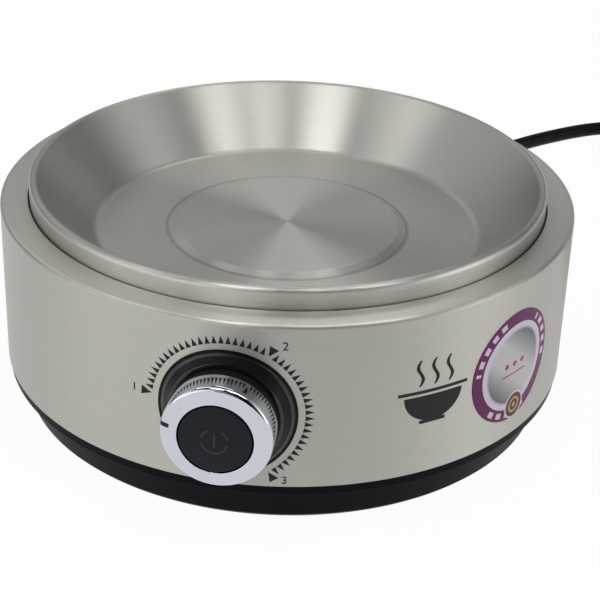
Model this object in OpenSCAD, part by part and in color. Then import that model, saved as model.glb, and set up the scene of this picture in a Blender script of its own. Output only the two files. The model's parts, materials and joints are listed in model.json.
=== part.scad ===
// Heating base of an electric egg cooker: a steel drum with a dished pan let into its top, a black
// tray under it, a dial with a push button in its middle on the front, and a mains lead at the back.
// Millimetres. +Z is up, Z 0 is the table, the drum's axis is the Z axis, and the dial faces -Y.

/* [Drum] */
// Outer radius of the steel drum
body_r = 100; // [98:0.5:103]
// Height of the steel wall
wall_h = 57.8; // [56:0.2:60]
// Sheet thickness of the drum
shell_t = 0.8; // [0.6:0.1:1]
// Radius of the bend between the wall and the top ring
top_bend = 1.4; // [1.2:0.1:2]
// Width of the flat top ring, from the outside of the wall to the pan's rim
ring_w = 9.9; // [9:0.1:12]

/* [Pan] */
// Height of the rim's crown above the drum's top ring
rim_proud = 7.2; // [6:0.2:9]
// Radius of the rolled bead along the rim
bead_r = 1.8; // [1.5:0.1:2.4]
// Width of the pan's sloping side, from the inside of the bead to the flat floor
side_w = 18.7; // [16:0.1:21]
// Depth of the floor below the drum's top ring
floor_drop = 14.2; // [12:0.2:16]
// Radius of the raised plate in the middle of the floor, over its sloping edge
boss_r = 42.5; // [40:0.5:44]
// Height of the raised plate
boss_h = 1.5; // [1:0.1:2]
// Width of the raised plate's sloping edge
boss_edge = 3.2; // [2:0.2:4]
// Sheet thickness of the pan
pan_t = 1; // [0.8:0.1:1.2]
// Width of the flange that clamps the pan under the top ring
flange_w = 6.4; // [6:0.2:7]
// Thickness of the silicone gasket on the flange
gasket_t = 0.8; // [0.6:0.1:1.2]
// Gap between the pan's rim and the drum's opening
rim_gap = 0.4; // [0.2:0.1:0.8]
// Number of studs that clamp the pan
stud_n = 6; // [4:1:8]

/* [Tray] */
// Height that the feet stand proud of the tray
foot_h = 2; // [1.5:0.5:3]
// Height of the tray between its underside and the steel wall
base_h = 16.8; // [16:0.2:19]
// Height of the tray's upper band
band_h = 3.6; // [3:0.2:5]
// How far the upper band stands back from the steel wall
band_inset = 0.6; // [0.3:0.1:1]
// Step from the upper band to the lower part
band_step = 3.8; // [3:0.2:4.4]
// Taper of the lower part, from its top to its bottom corner
base_taper = 2.3; // [1.5:0.1:3]
// Size of the bottom corner's bevel
base_bevel = 1.6; // [1:0.2:2]
// Wall of the moulded tray
base_t = 2.2; // [2:0.1:2.4]
// Height of the spigot that locates the tray inside the drum
spigot_h = 5.2; // [4:0.2:7]
// Distance from the inside of the wall to the tray's screws
screw_inset = 15.2; // [14.6:0.1:16.2]
// Distance from the tray's lower edge to the middle of a foot
foot_inset = 15.3; // [13:0.1:19]
// Radius of a foot
foot_r = 7; // [6:0.2:8]

/* [Dial] */
// Depth of the dial's axis below the drum's top ring
knob_drop = 31.8; // [31:0.1:32.4]
// Outer radius of the bezel ring
bezel_r = 22.2; // [21.6:0.1:22.6]
// Radius of the bezel's crown, round the dial
bezel_crown_r = 18.3; // [18:0.1:19]
// Height of the bezel's crown above the wall
bezel_crown = 2; // [1.6:0.1:2.2]
// Radius of the chromed ring at its rear edge
ring_back_r = 17.75; // [17.6:0.05:18]
// Radius of the chromed ring at its front edge
ring_front_r = 17.45; // [17.2:0.05:17.5]
// Distance from the wall to the chromed ring's rear edge
ring_back = 7.2; // [6.8:0.1:7.8]
// Distance from the wall to the chromed ring's front edge
ring_front = 14.8; // [14.4:0.1:15]
// Rise of the chromed face from its outer edge to the button
face_rise = 1.1; // [0.8:0.1:1.2]
// Wall of the chromed ring
ring_t = 1; // [0.8:0.1:1.1]
// Angle of the dial's pointer at rest, clockwise from the top as seen from the front
pointer_a = -80; // [-88:1:150]
// Width of the pointer
pointer_w = 1.5; // [1:0.1:2]

/* [Button] */
// Radius of the push button
button_r = 11.4; // [10.8:0.1:11.6]
// Distance from the wall to the middle of the button's face
button_front = 16.9; // [16.5:0.1:17.2]
// Travel of the button
button_travel = 1.2; // [0.8:0.1:1.3]

/* [Lead] */
// Diameter of the mains lead
cord_d = 6.4; // [6.2:0.1:6.6]
// Height at which the lead leaves the tray
exit_z = 10; // [9.8:0.1:10.2]
// How far the strain relief reaches past the drum's wall
relief_l = 16.9; // [13:0.1:22]
// Length of a moulded plug along the lead
plug_l = 50; // [46:1:54]
// Width of the plug
plug_w = 49; // [46:1:52]
// Thickness of the plug from its back to the face with the pins
plug_t = 20; // [19:0.5:24]

/* [Fits] */
// Running clearance of a shaft in its bearing
run_fit = 0.06; // [0.03:0.01:0.1]
// Sliding clearance of the button's stem in its guide
slide_fit = 0.1; // [0.05:0.01:0.1]
// Clearance between moulded or pressed pieces that don't move
part_gap = 0.3; // [0.2:0.05:0.4]
// Clearance of a push-on seat
push_gap = 0.05; // [0.02:0.01:0.1]

/* [Hidden] */
$fn = 64;
eps = 0.01;

// Heights of the main levels
tray_z = foot_h;
steel_z = tray_z + base_h;
top_z = steel_z + wall_h;
ledge_z = steel_z - band_h;
tray_floor_z = tray_z + base_t;
pan_floor_z = top_z - floor_drop;
pan_under_z = pan_floor_z - pan_t;
bead_z = top_z + rim_proud - bead_r;
ring_under_z = top_z - shell_t;
flange_z = ring_under_z - gasket_t;
knob_z = top_z - knob_drop;

// Radii of the drum, the tray and the pan
wall_in_r = body_r - shell_t;
rim_r = body_r - ring_w;
opening_r = rim_r + rim_gap;
band_r = body_r - band_inset;
lower_r = band_r - band_step;
foot_edge_r = lower_r - base_taper;
spigot_r = wall_in_r - part_gap;
lip_r = rim_r - 2 * bead_r;
floor_r = lip_r - side_w;
skirt_r = rim_r - 0.1;
boss_ring_r = wall_in_r - screw_inset;
foot_ring_r = foot_edge_r - foot_inset;
flange_r = rim_r + flange_w;
stud_ring_r = rim_r + flange_w / 2;
boss_top_r = boss_r - boss_edge;
side_a = atan2(bead_z - pan_floor_z, lip_r - floor_r);

// Metric fasteners: thread radius, and the radius and height of the head
m2 = [1.05, 2.2, 1.5];
m3 = [1.45, 2.8, 2];
m4 = [1.95, 3.9, 2.6];
thread_gap = 0.05;
hole_gap = 0.3;

// Clamp studs of the pan
stud_l = 7;
stud_a = 30;
nut_h = 2.4;
nut_r = 3.1;

// Brackets that the tray's screws hold
bracket_w = 16;
bracket_t = 1.2;
bracket_z = 30;
bracket_h = 16;
bracket_in = boss_ring_r - 6;
corner_a = [45, 135, 225, 315];
pillar_r = 5.8;
earth_r = boss_ring_r + 8.5;
wire_gap = 0.3;

// Heater under the pan
plate_r = floor_r - 11.8;
plate_t = 4;
plate_z = pan_under_z - plate_t;
element_r = 3.3;
element_ring_r = plate_r - 12;
element_sink = 1.3;
element_z = plate_z - element_r + element_sink;
element_gap_a = 20;
leg_z = plate_z - 13.4;
leg_x = element_ring_r * sin(element_gap_a);
leg_y = element_ring_r * cos(element_gap_a);
tab_t = 0.8;
tab_w = 6.3;
can_r = 8;
can_h = 3;
stat_body_r = 7.2;
stat_body_h = 6;
stat_tab_h = 6.4;
stat_tab_x = 4.5;
strap_t = 0.8;
strap_x = 16;
fuse_r = 2;
fuse_l = 12;
fuse_y = 22;
fuse_screw_y = 29;

// Heat shield and its spacers
shield_r = plate_r + 4;
shield_t = 0.6;
shield_z = 30;
shield_lip = 4;
spacer_ring_r = plate_r - 4.5;
spacer_r = 3.4;
spacer_a = [30, 150, 270];
wire_hole = [-28, 22.5];
wire_hole_r = 6;

// Ring terminal of the earth wire: the middle of its barrel's far end
lug_reach = 8;
lug_z = bracket_z + bracket_t + 1.3;
lug_end = lug_reach + 2 + wire_gap;
lug_at = [(earth_r - lug_end) * cos(corner_a[0]), (earth_r + lug_end) * sin(corner_a[0])];

// Lead's entry and its clamp
exit_hole_r = cord_d / 2 + 1.2;
cord_r = cord_d / 2;
relief_root_r = 5;
relief_tip_r = 4;
relief_tip = body_r + relief_l;
core_end_y = body_r - 38;
clamp_y = body_r - 26;
clamp_l = 8;
clamp_post_x = 9.5;
clamp_post_r = 3.4;
clamp_h = 4;
clamp_mid = clamp_y + clamp_l / 2;
clamp_seat = exit_z + 0.2;

// Terminal block on the tray
block = [34, 14, 13];
block_at = [-38, core_end_y - 18];
block_pitch = 9;

// Distances from the drum's axis along the dial's axis
shoulder_h = 0.4;
flange_h = 0.5;
shoulder_r = bezel_r - 1.2;
bezel_hole_r = bezel_r - 1.6;
bezel_plug_r = bezel_hole_r - part_gap;
bezel_bore_r = 12.4;
bezel_back = body_r - 5;
bracket_front = body_r - 8.8;
bracket_back = bracket_front - bracket_t;
post_x = 17;
post_r = 3;
standoff_l = 6;
standoff_x = 20;
standoff_y = 15;
standoff_r = 2.6;
board_front = bracket_back - standoff_l;
board_t = 1.6;
board_back = board_front - board_t;
board_w = 48;
board_h = 38;
connector_h = 8;
bracket_plate = [52, 44];
bracket_side = 5.6;

// Hollow-shaft control
pot_r = 13;
bush_r = 9;
bush_front = body_r - 3;
pot_wall = 2.1;
rotor_flange_t = 2;
rotor_flange_r = 10;
shaft_r = 7.4;
shaft_bore_r = 6;
shaft_front = body_r + 6;
flange_back = board_front + pot_wall + part_gap;

// Button guide, stem and switch
cup_r = 5.7;
cup_front = board_front + 9;
cup_half = 3.3;
guide_r = 4.6;
guide_front = body_r + 6;
stem_r = 2.4;
clip_r = 3;
clip_t = 0.8;
clip_groove = 0.5;
clip_front = cup_front - 1 - slide_fit;
switch_h = 3.5;
switch_w = 6;
plunger_r = 1.7;
plunger_h = 1.1;
stem_back = board_front + switch_h + plunger_h + button_travel + 0.2;
key_w = 1;
key_r = 3.3;
cap_t = 3.3;
cap_skirt = 5.3;
dome_h = 0.9;
cap_back = body_r + button_front - cap_t;
spring_r = 3.95;
spring_wire = 0.35;
spring_turns = 5;

// Dial
button_gap = 0.5;
face_bore_r = button_r + button_gap;
base_back = body_r + bezel_crown + 0.5;
base_r = ring_back_r - 0.85;
seat_r = ring_back_r - ring_t - push_gap;
seat_front = body_r + ring_front - 2;
hub_r = 9.4;
hub_back = body_r - 2;
web_back = body_r + 6.5;
web_t = 2;
face_edge = 0.6;

// Round seal on the wall
seal_a = 58.5;
seal_drop = 30.9;
seal_r = 20;
seal_t = 0.25;

// Route of the lead from the strain relief to the coil, then the coil and its end
cord_route = [
    [0, relief_tip, exit_z], [0, 126, 10], [1.6, 136, 8.4], [5.4, 146, 5.6], [10.6, 156, 3.8],
    [17, 166, 3.2], [24, 177, 3.2], [32, 189, 3.2], [40, 200, 3.2], [49, 212, 3.2],
    [58, 223, 3.2], [68, 235, 3.2], [79, 247, 3.2], [92, 259, 3.2], [105, 269, 3.2],
    [119, 276.5, 3.2], [133, 283, 3.3], [149, 288, 3.5], [166, 290, 3.7]
];
coil_c = [166, 247];
coil_r0 = 43;
coil_pitch = 6.5;
coil_turns = 2.25;
coil_z = 0.5;
coil_out_r = coil_r0 + cord_r;
coil_in_r = coil_r0 - coil_pitch * coil_turns - cord_r;
climb_a = 140;
climb_h = 6.6;
climb_share = 0.85;
lead_end = [
    [194.4, 240, 10.2], [194.4, 232, 10.3], [194.4, 223, 10.2], [194.4, 214, 10], [194.4, 207, 10]
];
tie_a = 200;
tie_w = 9;
tie_t = 0.5;
plug_relief = 20;
plug_corner = 7;

// ---- helpers ----

// Places children on the dial's axis: their Z points out of the front wall, their Y up
module on_dial() {
    translate([0, 0, knob_z]) rotate([90, 0, 0]) children();
}

// Places children on the lead's axis at the rear wall: their Z points to the rear
module along_lead() {
    translate([0, 0, exit_z]) rotate([-90, 0, 0]) children();
}

// A ring or disc between two heights
module ring(outer, inner, z0, z1) {
    translate([0, 0, z0]) difference() {
        cylinder(r = outer, h = z1 - z0);
        if (inner > 0) translate([0, 0, -1]) cylinder(r = inner, h = z1 - z0 + 2);
    }
}

// A rod between two heights
module rod(r, z0, z1) {
    translate([0, 0, z0]) cylinder(r = r, h = z1 - z0);
}

// A block centred in X and Y between two heights
module slab(size_x, size_y, z0, z1) {
    translate([-size_x / 2, -size_y / 2, z0]) cube([size_x, size_y, z1 - z0]);
}

// Children at one radius, turned outwards at each angle of a list
module around(angles, r) {
    for (a = angles) rotate([0, 0, a]) translate([r, 0, 0]) children();
}

// A screw whose head's inner face is at z and whose thread points up from it
module screw_up(size, z, thread) {
    rod(size[1], z - size[2], z);
    rod(size[0], z - eps, z + thread);
}

function even(n, start = 0) = [for (i = [0 : n - 1]) start + i * 360 / n];
function unit(v) = v / norm(v);
function heading(p, i) = unit(p[min(i + 1, len(p) - 1)] - p[max(i - 1, 0)]);

// The points of one ring of a tube, square to the route
function tube_ring(p, i, r, n, ref) =
    let (t = heading(p, i), a = unit(cross(ref, t)), b = cross(t, a))
    [for (k = [0 : n - 1]) p[i] + r * (cos(360 * k / n) * a + sin(360 * k / n) * b)];

// A point on the smooth curve through a route
function spline(a, b, c, d, t) =
    0.5 * (2 * b + (c - a) * t + (2 * a - 5 * b + 4 * c - d) * t * t + (3 * b - a - 3 * c + d) * t * t * t);
function smooth(p, steps) =
    let (last = len(p) - 1)
    [for (i = [0 : last - 1], s = [0 : steps - 1])
        spline(p[max(i - 1, 0)], p[i], p[i + 1], p[min(i + 2, last)], s / steps),
     p[last]];

// A closed tube along the points of a route
module tube(p, r, n = 8, ref = [0, 0, 1]) {
    rings = len(p);
    points = [for (i = [0 : rings - 1]) each tube_ring(p, i, r, n, ref)];
    sides = [for (i = [0 : rings - 2], k = [0 : n - 1]) each [
        [i * n + k, (i + 1) * n + k, (i + 1) * n + (k + 1) % n],
        [i * n + k, (i + 1) * n + (k + 1) % n, i * n + (k + 1) % n]]];
    caps = [[for (k = [0 : n - 1]) k], [for (k = [n - 1 : -1 : 0]) (rings - 1) * n + k]];
    polyhedron(points = points, faces = concat(sides, caps));
}

// A thin wire inside the housing
module wire(p, r = 1.1) {
    tube(smooth(p, 3), r, 6, [0.31, 0.17, 0.94]);
}

// ---- drum and pan ----

// Half section of a can with a rounded top edge
module can_section(r, z0, z1, bend) {
    translate([0, z0]) square([r, z1 - z0 - bend]);
    translate([0, z0]) square([r - bend, z1 - z0]);
    translate([r - bend, z1 - bend]) circle(r = bend);
}

module outer_shell() {
    color("lightgray") difference() {
        rotate_extrude() difference() {
            can_section(body_r, steel_z, top_z, top_bend);
            can_section(wall_in_r, steel_z - 1, ring_under_z, top_bend - shell_t);
            translate([0, steel_z - 2]) square([opening_r, wall_h + 4]);
        }
        on_dial() rod(bezel_hole_r, body_r - 12, body_r + 2);
    }
}

// Half section of the pan's sheet, from the middle out to the flange
module pan_section() {
    under_r = floor_r + pan_t * tan(side_a / 2);
    wall_r = lip_r + pan_t * 0.9;
    polygon([[0, pan_under_z], [0, pan_floor_z], [floor_r, pan_floor_z], [lip_r + bead_r / 6, bead_z],
        [wall_r, bead_z], [wall_r, pan_under_z + (wall_r - under_r) * tan(side_a)],
        [under_r, pan_under_z]]);
    difference() {
        translate([rim_r - bead_r, bead_z]) circle(r = bead_r);
        translate([rim_r - bead_r, bead_z]) circle(r = bead_r - pan_t);
    }
    translate([skirt_r - pan_t, flange_z - pan_t]) square([pan_t, bead_z - bead_r / 4 - flange_z + pan_t]);
    translate([skirt_r - pan_t, flange_z - pan_t]) square([flange_r - skirt_r + pan_t, pan_t]);
}

// Half section of the raised plate over a level, with its foot sunk into the sheet
module boss_section(z, sink) {
    polygon([[0, z - sink], [0, z + boss_h], [boss_top_r, z + boss_h], [boss_r, z], [boss_r, z - sink]]);
}

module heating_pan() {
    color("silver") difference() {
        union() {
            rotate_extrude() pan_section();
            rotate_extrude() boss_section(pan_floor_z, pan_t / 2);
        }
        rotate_extrude() boss_section(pan_under_z, pan_t / 2);
        around(even(stud_n, stud_a), stud_ring_r) rod(m3[0] + hole_gap, flange_z - pan_t - 1, flange_z + 1);
    }
}

module pan_gasket() {
    color("dimgray") difference() {
        ring(flange_r, opening_r, flange_z, ring_under_z);
        around(even(stud_n, stud_a), stud_ring_r) rod(m3[0] + hole_gap, flange_z - 1, ring_under_z + 1);
    }
}

module pan_studs() {
    color("gainsboro") around(even(stud_n, stud_a), stud_ring_r)
        rod(m3[0], ring_under_z - stud_l, ring_under_z);
}

module pan_nuts() {
    under = flange_z - pan_t;
    color("gainsboro") around(even(stud_n, stud_a), stud_ring_r) difference() {
        translate([0, 0, under - nut_h]) cylinder(r = nut_r, h = nut_h, $fn = 6);
        rod(m3[0] + thread_gap, under - nut_h - 1, under + 1);
    }
}

// ---- heater ----

module heater_plate() {
    color("darkgray") difference() {
        union() {
            rod(plate_r, plate_z, pan_under_z);
            rod(boss_top_r - part_gap, pan_under_z - eps, pan_under_z + boss_h);
        }
        translate([0, 0, element_z]) rotate_extrude()
            translate([element_ring_r, 0]) circle(r = element_r + push_gap);
        around(spacer_a, spacer_ring_r) rod(m3[0] + thread_gap, plate_z - 1, plate_z + 3);
        around([0, 180], strap_x) rod(m3[0] + thread_gap, plate_z - 1, plate_z + 3.4);
        translate([0, fuse_screw_y, 0]) rod(m3[0] + thread_gap, plate_z - 1, plate_z + 3.4);
    }
}

module heating_element() {
    color("dimgray") {
        translate([0, 0, element_z]) rotate([0, 0, 90 + element_gap_a])
            rotate_extrude(angle = 360 - 2 * element_gap_a)
                translate([element_ring_r, 0]) circle(r = element_r);
        for (side = [-1, 1]) translate([side * leg_x, leg_y, 0]) {
            translate([0, 0, element_z]) sphere(r = element_r + push_gap);
            rod(element_r, leg_z, element_z);
        }
    }
}

module element_tabs() {
    color("gold") for (side = [-1, 1]) translate([side * leg_x, leg_y, 0]) {
        rod(1.6, leg_z - 2, leg_z);
        slab(tab_t, tab_w, leg_z - 11, leg_z - 2);
    }
}

module thermostat() {
    body_z = plate_z - can_h;
    tab_z = body_z - stat_body_h;
    color("ivory") {
        rod(can_r, body_z, plate_z);
        rod(stat_body_r, tab_z, body_z);
        for (x = [-stat_tab_x, stat_tab_x]) translate([x, 0, 0])
            slab(tab_t, tab_w, tab_z - stat_tab_h, tab_z);
    }
}

module thermostat_clamp() {
    under = plate_z - can_h;
    color("silver") difference() {
        union() {
            slab(2 * strap_x + 8, 9, under - strap_t, under);
            for (x = [-strap_x, strap_x]) translate([x, 0, 0]) slab(7.6, 9, under - eps, plate_z);
        }
        rod(stat_body_r + part_gap, under - 2, under + 1);
        around([0, 180], strap_x) rod(m3[0] + hole_gap, under - 2, plate_z + 1);
    }
}

module clamp_screws() {
    stat_grip = can_h + strap_t;
    fuse_grip = 2 * fuse_r + strap_t;
    color("gainsboro") {
        around([0, 180], strap_x) screw_up(m3, plate_z - stat_grip, stat_grip + 3);
        translate([0, fuse_screw_y, 0]) screw_up(m3, plate_z - fuse_grip, fuse_grip + 3);
    }
}

module thermal_fuse() {
    color("mintcream") translate([0, fuse_y, plate_z - fuse_r]) rotate([0, 90, 0]) {
        rod(fuse_r, -fuse_l / 2, fuse_l / 2);
        rod(0.6, -fuse_l / 2 - 8, fuse_l / 2 + 8);
    }
}

module fuse_clip() {
    under = plate_z - 2 * fuse_r;
    back_y = fuse_screw_y + 4;
    block_y = fuse_y + fuse_r + 1;
    color("silver") difference() {
        union() {
            translate([-4, fuse_y - fuse_r, under - strap_t]) cube([8, back_y - fuse_y + fuse_r, strap_t]);
            translate([-4, block_y, under - eps]) cube([8, back_y - block_y, plate_z - under + eps]);
        }
        translate([0, fuse_screw_y, 0]) rod(m3[0] + hole_gap, under - 2, plate_z + 1);
    }
}

module heat_shield() {
    color("lightsteelblue") difference() {
        union() {
            rod(shield_r, shield_z, shield_z + shield_t);
            ring(shield_r, shield_r - shield_t, shield_z, shield_z + shield_lip);
        }
        around(spacer_a, spacer_ring_r) rod(m3[0] + hole_gap, shield_z - 1, shield_z + 2);
        translate([wire_hole[0], wire_hole[1], 0]) rod(wire_hole_r, shield_z - 1, shield_z + 2);
        around(even(8, 22.5), 20) rod(2.5, shield_z - 1, shield_z + 2);
    }
}

module shield_spacers() {
    color("khaki") around(spacer_a, spacer_ring_r)
        ring(spacer_r, m3[0] + hole_gap, shield_z + shield_t, plate_z);
}

module shield_screws() {
    color("gainsboro") around(spacer_a, spacer_ring_r) screw_up(m3, shield_z, plate_z - shield_z + 2.6);
}

// ---- tray ----

// An L bracket spot-welded inside the wall, one at each corner screw
module shell_brackets() {
    color("darkgray") around(corner_a, 0) difference() {
        union() {
            intersection() {
                ring(wall_in_r, wall_in_r - bracket_t, bracket_z, bracket_z + bracket_h);
                translate([boss_ring_r, -bracket_w / 2, bracket_z]) cube([body_r, bracket_w, bracket_h]);
            }
            intersection() {
                rod(wall_in_r, bracket_z, bracket_z + bracket_t);
                translate([bracket_in, -bracket_w / 2, bracket_z]) cube([body_r, bracket_w, bracket_t]);
            }
        }
        translate([boss_ring_r, 0, 0]) rod(m4[0] + thread_gap, bracket_z - 1, bracket_z + bracket_t + 1);
        translate([earth_r, 0, 0]) rod(m3[0] + thread_gap, bracket_z - 1, bracket_z + bracket_t + 1);
    }
}

module tray_section() {
    inner_r = spigot_r - base_t;
    polygon([[0, tray_z], [foot_edge_r - base_bevel, tray_z], [foot_edge_r, tray_z + base_bevel],
        [lower_r, ledge_z], [band_r, ledge_z], [band_r, steel_z], [spigot_r, steel_z],
        [spigot_r, steel_z + spigot_h], [inner_r, steel_z + spigot_h], [inner_r, ledge_z + base_t],
        [lower_r - base_t, ledge_z + base_t], [foot_edge_r - base_t, tray_floor_z], [0, tray_floor_z]]);
}

module base_tray() {
    screw_seat = tray_z + 6;
    color("black") difference() {
        union() {
            rotate_extrude() tray_section();
            around(corner_a, boss_ring_r) rod(pillar_r, tray_floor_z - eps, bracket_z);
            for (x = [-clamp_post_x, clamp_post_x]) translate([x, clamp_mid, 0])
                rod(clamp_post_r, tray_floor_z - eps, clamp_seat);
            translate([0, clamp_mid, 0]) slab(8, 4, tray_floor_z - eps, exit_z - cord_r - push_gap);
        }
        around(corner_a, boss_ring_r) {
            rod(m4[0] + hole_gap, tray_z - 1, bracket_z + 1);
            rod(m4[1] + hole_gap, tray_z - 1, screw_seat);
        }
        around([0, 90, 180, 270], foot_ring_r) rod(foot_r + push_gap, tray_z - 1, tray_z + base_t / 2);
        for (x = [-clamp_post_x, clamp_post_x]) translate([x, clamp_mid, 0])
            rod(m3[0] + thread_gap, tray_floor_z + 1, clamp_seat + 1);
        around(even(10), 30) slab(16, 3, tray_z - 1, tray_floor_z + 1);
        along_lead() rod(exit_hole_r, foot_edge_r - 6, foot_edge_r + 6);
    }
}

module base_screws() {
    color("gainsboro") around(corner_a, boss_ring_r) screw_up(m4, tray_z + 6, bracket_z - tray_z - 3);
}

module foot_pads() {
    color("dimgray") around([0, 90, 180, 270], foot_ring_r) rod(foot_r, 0, tray_z + base_t / 2);
}

// ---- lead's entry ----

// A flexible bush: a collar inside the wall, a neck in the hole and a tapered sleeve outside
module strain_relief() {
    neck_r = exit_hole_r - push_gap;
    inner_y = foot_edge_r - base_t - 0.2;
    outer_y = lower_r + 0.1;
    taper_l = relief_tip - outer_y;
    color("#1a1a1a") along_lead() difference() {
        union() {
            rod(relief_root_r + 0.5, inner_y - 2.4, inner_y);
            rod(neck_r, inner_y - eps, outer_y + eps);
            translate([0, 0, outer_y]) cylinder(r1 = relief_root_r, r2 = relief_tip_r, h = taper_l);
        }
        rod(cord_r + push_gap, inner_y - 4, relief_tip + 1);
        for (i = [0 : 3]) ring(8, relief_tip_r - 0.2, relief_tip - 4 - 4 * i, relief_tip - 2.4 - 4 * i);
    }
}

// The jacketed end of the lead, from the relief's tip to where its cores part
module cord_core() {
    color("#111111") along_lead() rod(cord_r, core_end_y, relief_tip);
}

module cord_clamp() {
    color("white") difference() {
        translate([0, clamp_mid, 0]) slab(2 * clamp_post_x + 7, clamp_l, clamp_seat, clamp_seat + clamp_h);
        along_lead() rod(cord_r + push_gap, clamp_y - 1, clamp_y + clamp_l + 1);
        for (x = [-clamp_post_x, clamp_post_x]) translate([x, clamp_mid, 0])
            rod(m3[0] + hole_gap, clamp_seat - 1, clamp_seat + clamp_h + 1);
    }
}

module clamp_bolts() {
    head_z = clamp_seat + clamp_h;
    color("gainsboro") for (x = [-clamp_post_x, clamp_post_x]) translate([x, clamp_mid, 0]) {
        rod(m3[1], head_z, head_z + m3[2]);
        rod(m3[0], tray_floor_z + 1.5, head_z + eps);
    }
}

module terminal_block() {
    color("beige") translate([block_at[0], block_at[1], 0]) difference() {
        slab(block[0], block[1], tray_floor_z, tray_floor_z + block[2]);
        for (i = [-1 : 1]) translate([i * block_pitch, 0, 0])
            rod(2.5, tray_floor_z + block[2] - 3, tray_floor_z + block[2] + 1);
    }
}

module terminal_screws() {
    top = tray_floor_z + block[2] - 3;
    color("gold") translate([block_at[0], block_at[1], 0])
        for (i = [-1 : 1]) translate([i * block_pitch, 0, 0]) rod(2.3, top, top + 2);
}

// A ring terminal on the rear right bracket, with its barrel beside the ring
module earth_lug() {
    z = bracket_z + bracket_t;
    color("goldenrod") rotate([0, 0, corner_a[0]]) translate([earth_r, 0, 0]) difference() {
        union() {
            rod(3.6, z, z + tab_t);
            translate([-1.6, 0, z]) cube([3.2, lug_reach, tab_t]);
            translate([0, lug_reach, lug_z]) rotate([90, 0, 0]) rod(1.3, -2, 2);
        }
        rod(m3[0] + hole_gap, z - 1, z + 3);
    }
}

module earth_screw() {
    z = bracket_z + bracket_t + tab_t;
    color("gainsboro") rotate([0, 0, corner_a[0]]) translate([earth_r, 0, 0]) {
        rod(m3[1], z, z + m3[2]);
        rod(m3[0], z - 6, z + eps);
    }
}

module mains_wires() {
    start_y = core_end_y - wire_gap;
    entry_y = block_at[1] + block[1] / 2 + wire_gap;
    entry_z = tray_floor_z + 5;
    near = block_at[0] + block_pitch;
    far = block_at[0];
    color("saddlebrown") wire([[-1.5, start_y, exit_z + 0.9], [-2, start_y - 3, exit_z + 0.9],
        [-5, start_y - 6, exit_z + 1], [-10, start_y - 7, exit_z + 1], [-17, start_y - 4, exit_z + 0.5],
        [near + 4, entry_y + 8, exit_z], [near + 0.4, entry_y + 5.5, entry_z],
        [near, entry_y + 3, entry_z], [near, entry_y, entry_z]]);
    color("royalblue") wire([[1.5, start_y, exit_z + 0.9], [1.6, start_y - 3, exit_z + 1.2],
        [0.6, start_y - 8, exit_z + 3.5], [-6, start_y - 12, exit_z + 5], [-17, start_y - 9, exit_z + 5.5],
        [far + 8, entry_y + 10, exit_z + 4.5], [far + 1, entry_y + 8.5, exit_z + 1.5],
        [far, entry_y + 4, entry_z], [far, entry_y, entry_z]]);
    color("yellowgreen") wire([[0, start_y, exit_z - 1.7], [0.4, start_y - 3, exit_z - 1.7],
        [4, start_y - 7, exit_z - 1.4], [16, start_y - 10, exit_z], [30, start_y - 4, exit_z + 8],
        [lug_at[0] - 17, lug_at[1] - 4.7, lug_z - 6.5], [lug_at[0] - 10.6, lug_at[1] + 3.8, lug_z - 1],
        [lug_at[0] - 5.6, lug_at[1] + 4.9, lug_z], [lug_at[0] - 2.8, lug_at[1] + 2.8, lug_z],
        [lug_at[0], lug_at[1], lug_z]]);
}

module heater_wires() {
    exit_y = block_at[1] - block[1] / 2 - wire_gap;
    exit_h = tray_floor_z + 5;
    stat_z = plate_z - can_h - stat_body_h - stat_tab_h - wire_gap;
    lead_z = plate_z - fuse_r;
    lead_x = fuse_l / 2 + 8 + wire_gap;
    tab_mid = leg_z - 7;
    tab_x = leg_x + tab_t / 2 + wire_gap;
    near = block_at[0] + block_pitch;
    far = block_at[0];
    hole_x = wire_hole[0];
    hole_y = wire_hole[1];
    color("red") {
        wire([[near, exit_y, exit_h], [near, exit_y - 4, exit_h], [near + 0.4, exit_y - 10, exit_h + 5],
            [hole_x, hole_y + 2.5, shield_z - 7], [hole_x + 0.4, hole_y + 2.5, shield_z],
            [hole_x + 0.5, hole_y + 5.5, shield_z + 6], [-tab_x - 9.3, leg_y - 5.3, tab_mid + 0.4],
            [-tab_x - 4.3, leg_y, tab_mid], [-tab_x, leg_y, tab_mid]]);
        wire([[far, exit_y, exit_h], [far, exit_y - 4, exit_h], [far + 2, exit_y - 10, exit_h + 4],
            [hole_x - 3, hole_y - 1, shield_z - 8], [hole_x, hole_y - 2.5, shield_z],
            [hole_x + 6, hole_y - 7.5, shield_z + 6], [-stat_tab_x - 7.5, 6, stat_z - 3.6],
            [-stat_tab_x - 1.5, 1, stat_z - 4.2], [-stat_tab_x - 0.2, 0, stat_z - 2.4],
            [-stat_tab_x, 0, stat_z]]);
        wire([[stat_tab_x, 0, stat_z], [stat_tab_x, 0.2, stat_z - 2.4], [stat_tab_x - 1.5, 4, stat_z - 4],
            [-2, 9, stat_z - 3.4], [-10, 14, stat_z], [-lead_x - 3, fuse_y - 3, lead_z - 7.4],
            [-lead_x - 6.2, fuse_y - 0.4, lead_z - 2], [-lead_x - 4, fuse_y, lead_z],
            [-lead_x, fuse_y, lead_z]]);
        wire([[lead_x, fuse_y, lead_z], [lead_x + 3.4, fuse_y, lead_z],
            [lead_x + 6.4, fuse_y + 2, lead_z - 2.8], [lead_x + 8.4, fuse_y + 8, lead_z - 9.4],
            [tab_x + 7.4, leg_y - 4.3, tab_mid + 2.6], [tab_x + 4.3, leg_y, tab_mid],
            [tab_x, leg_y, tab_mid]]);
    }
}

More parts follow.
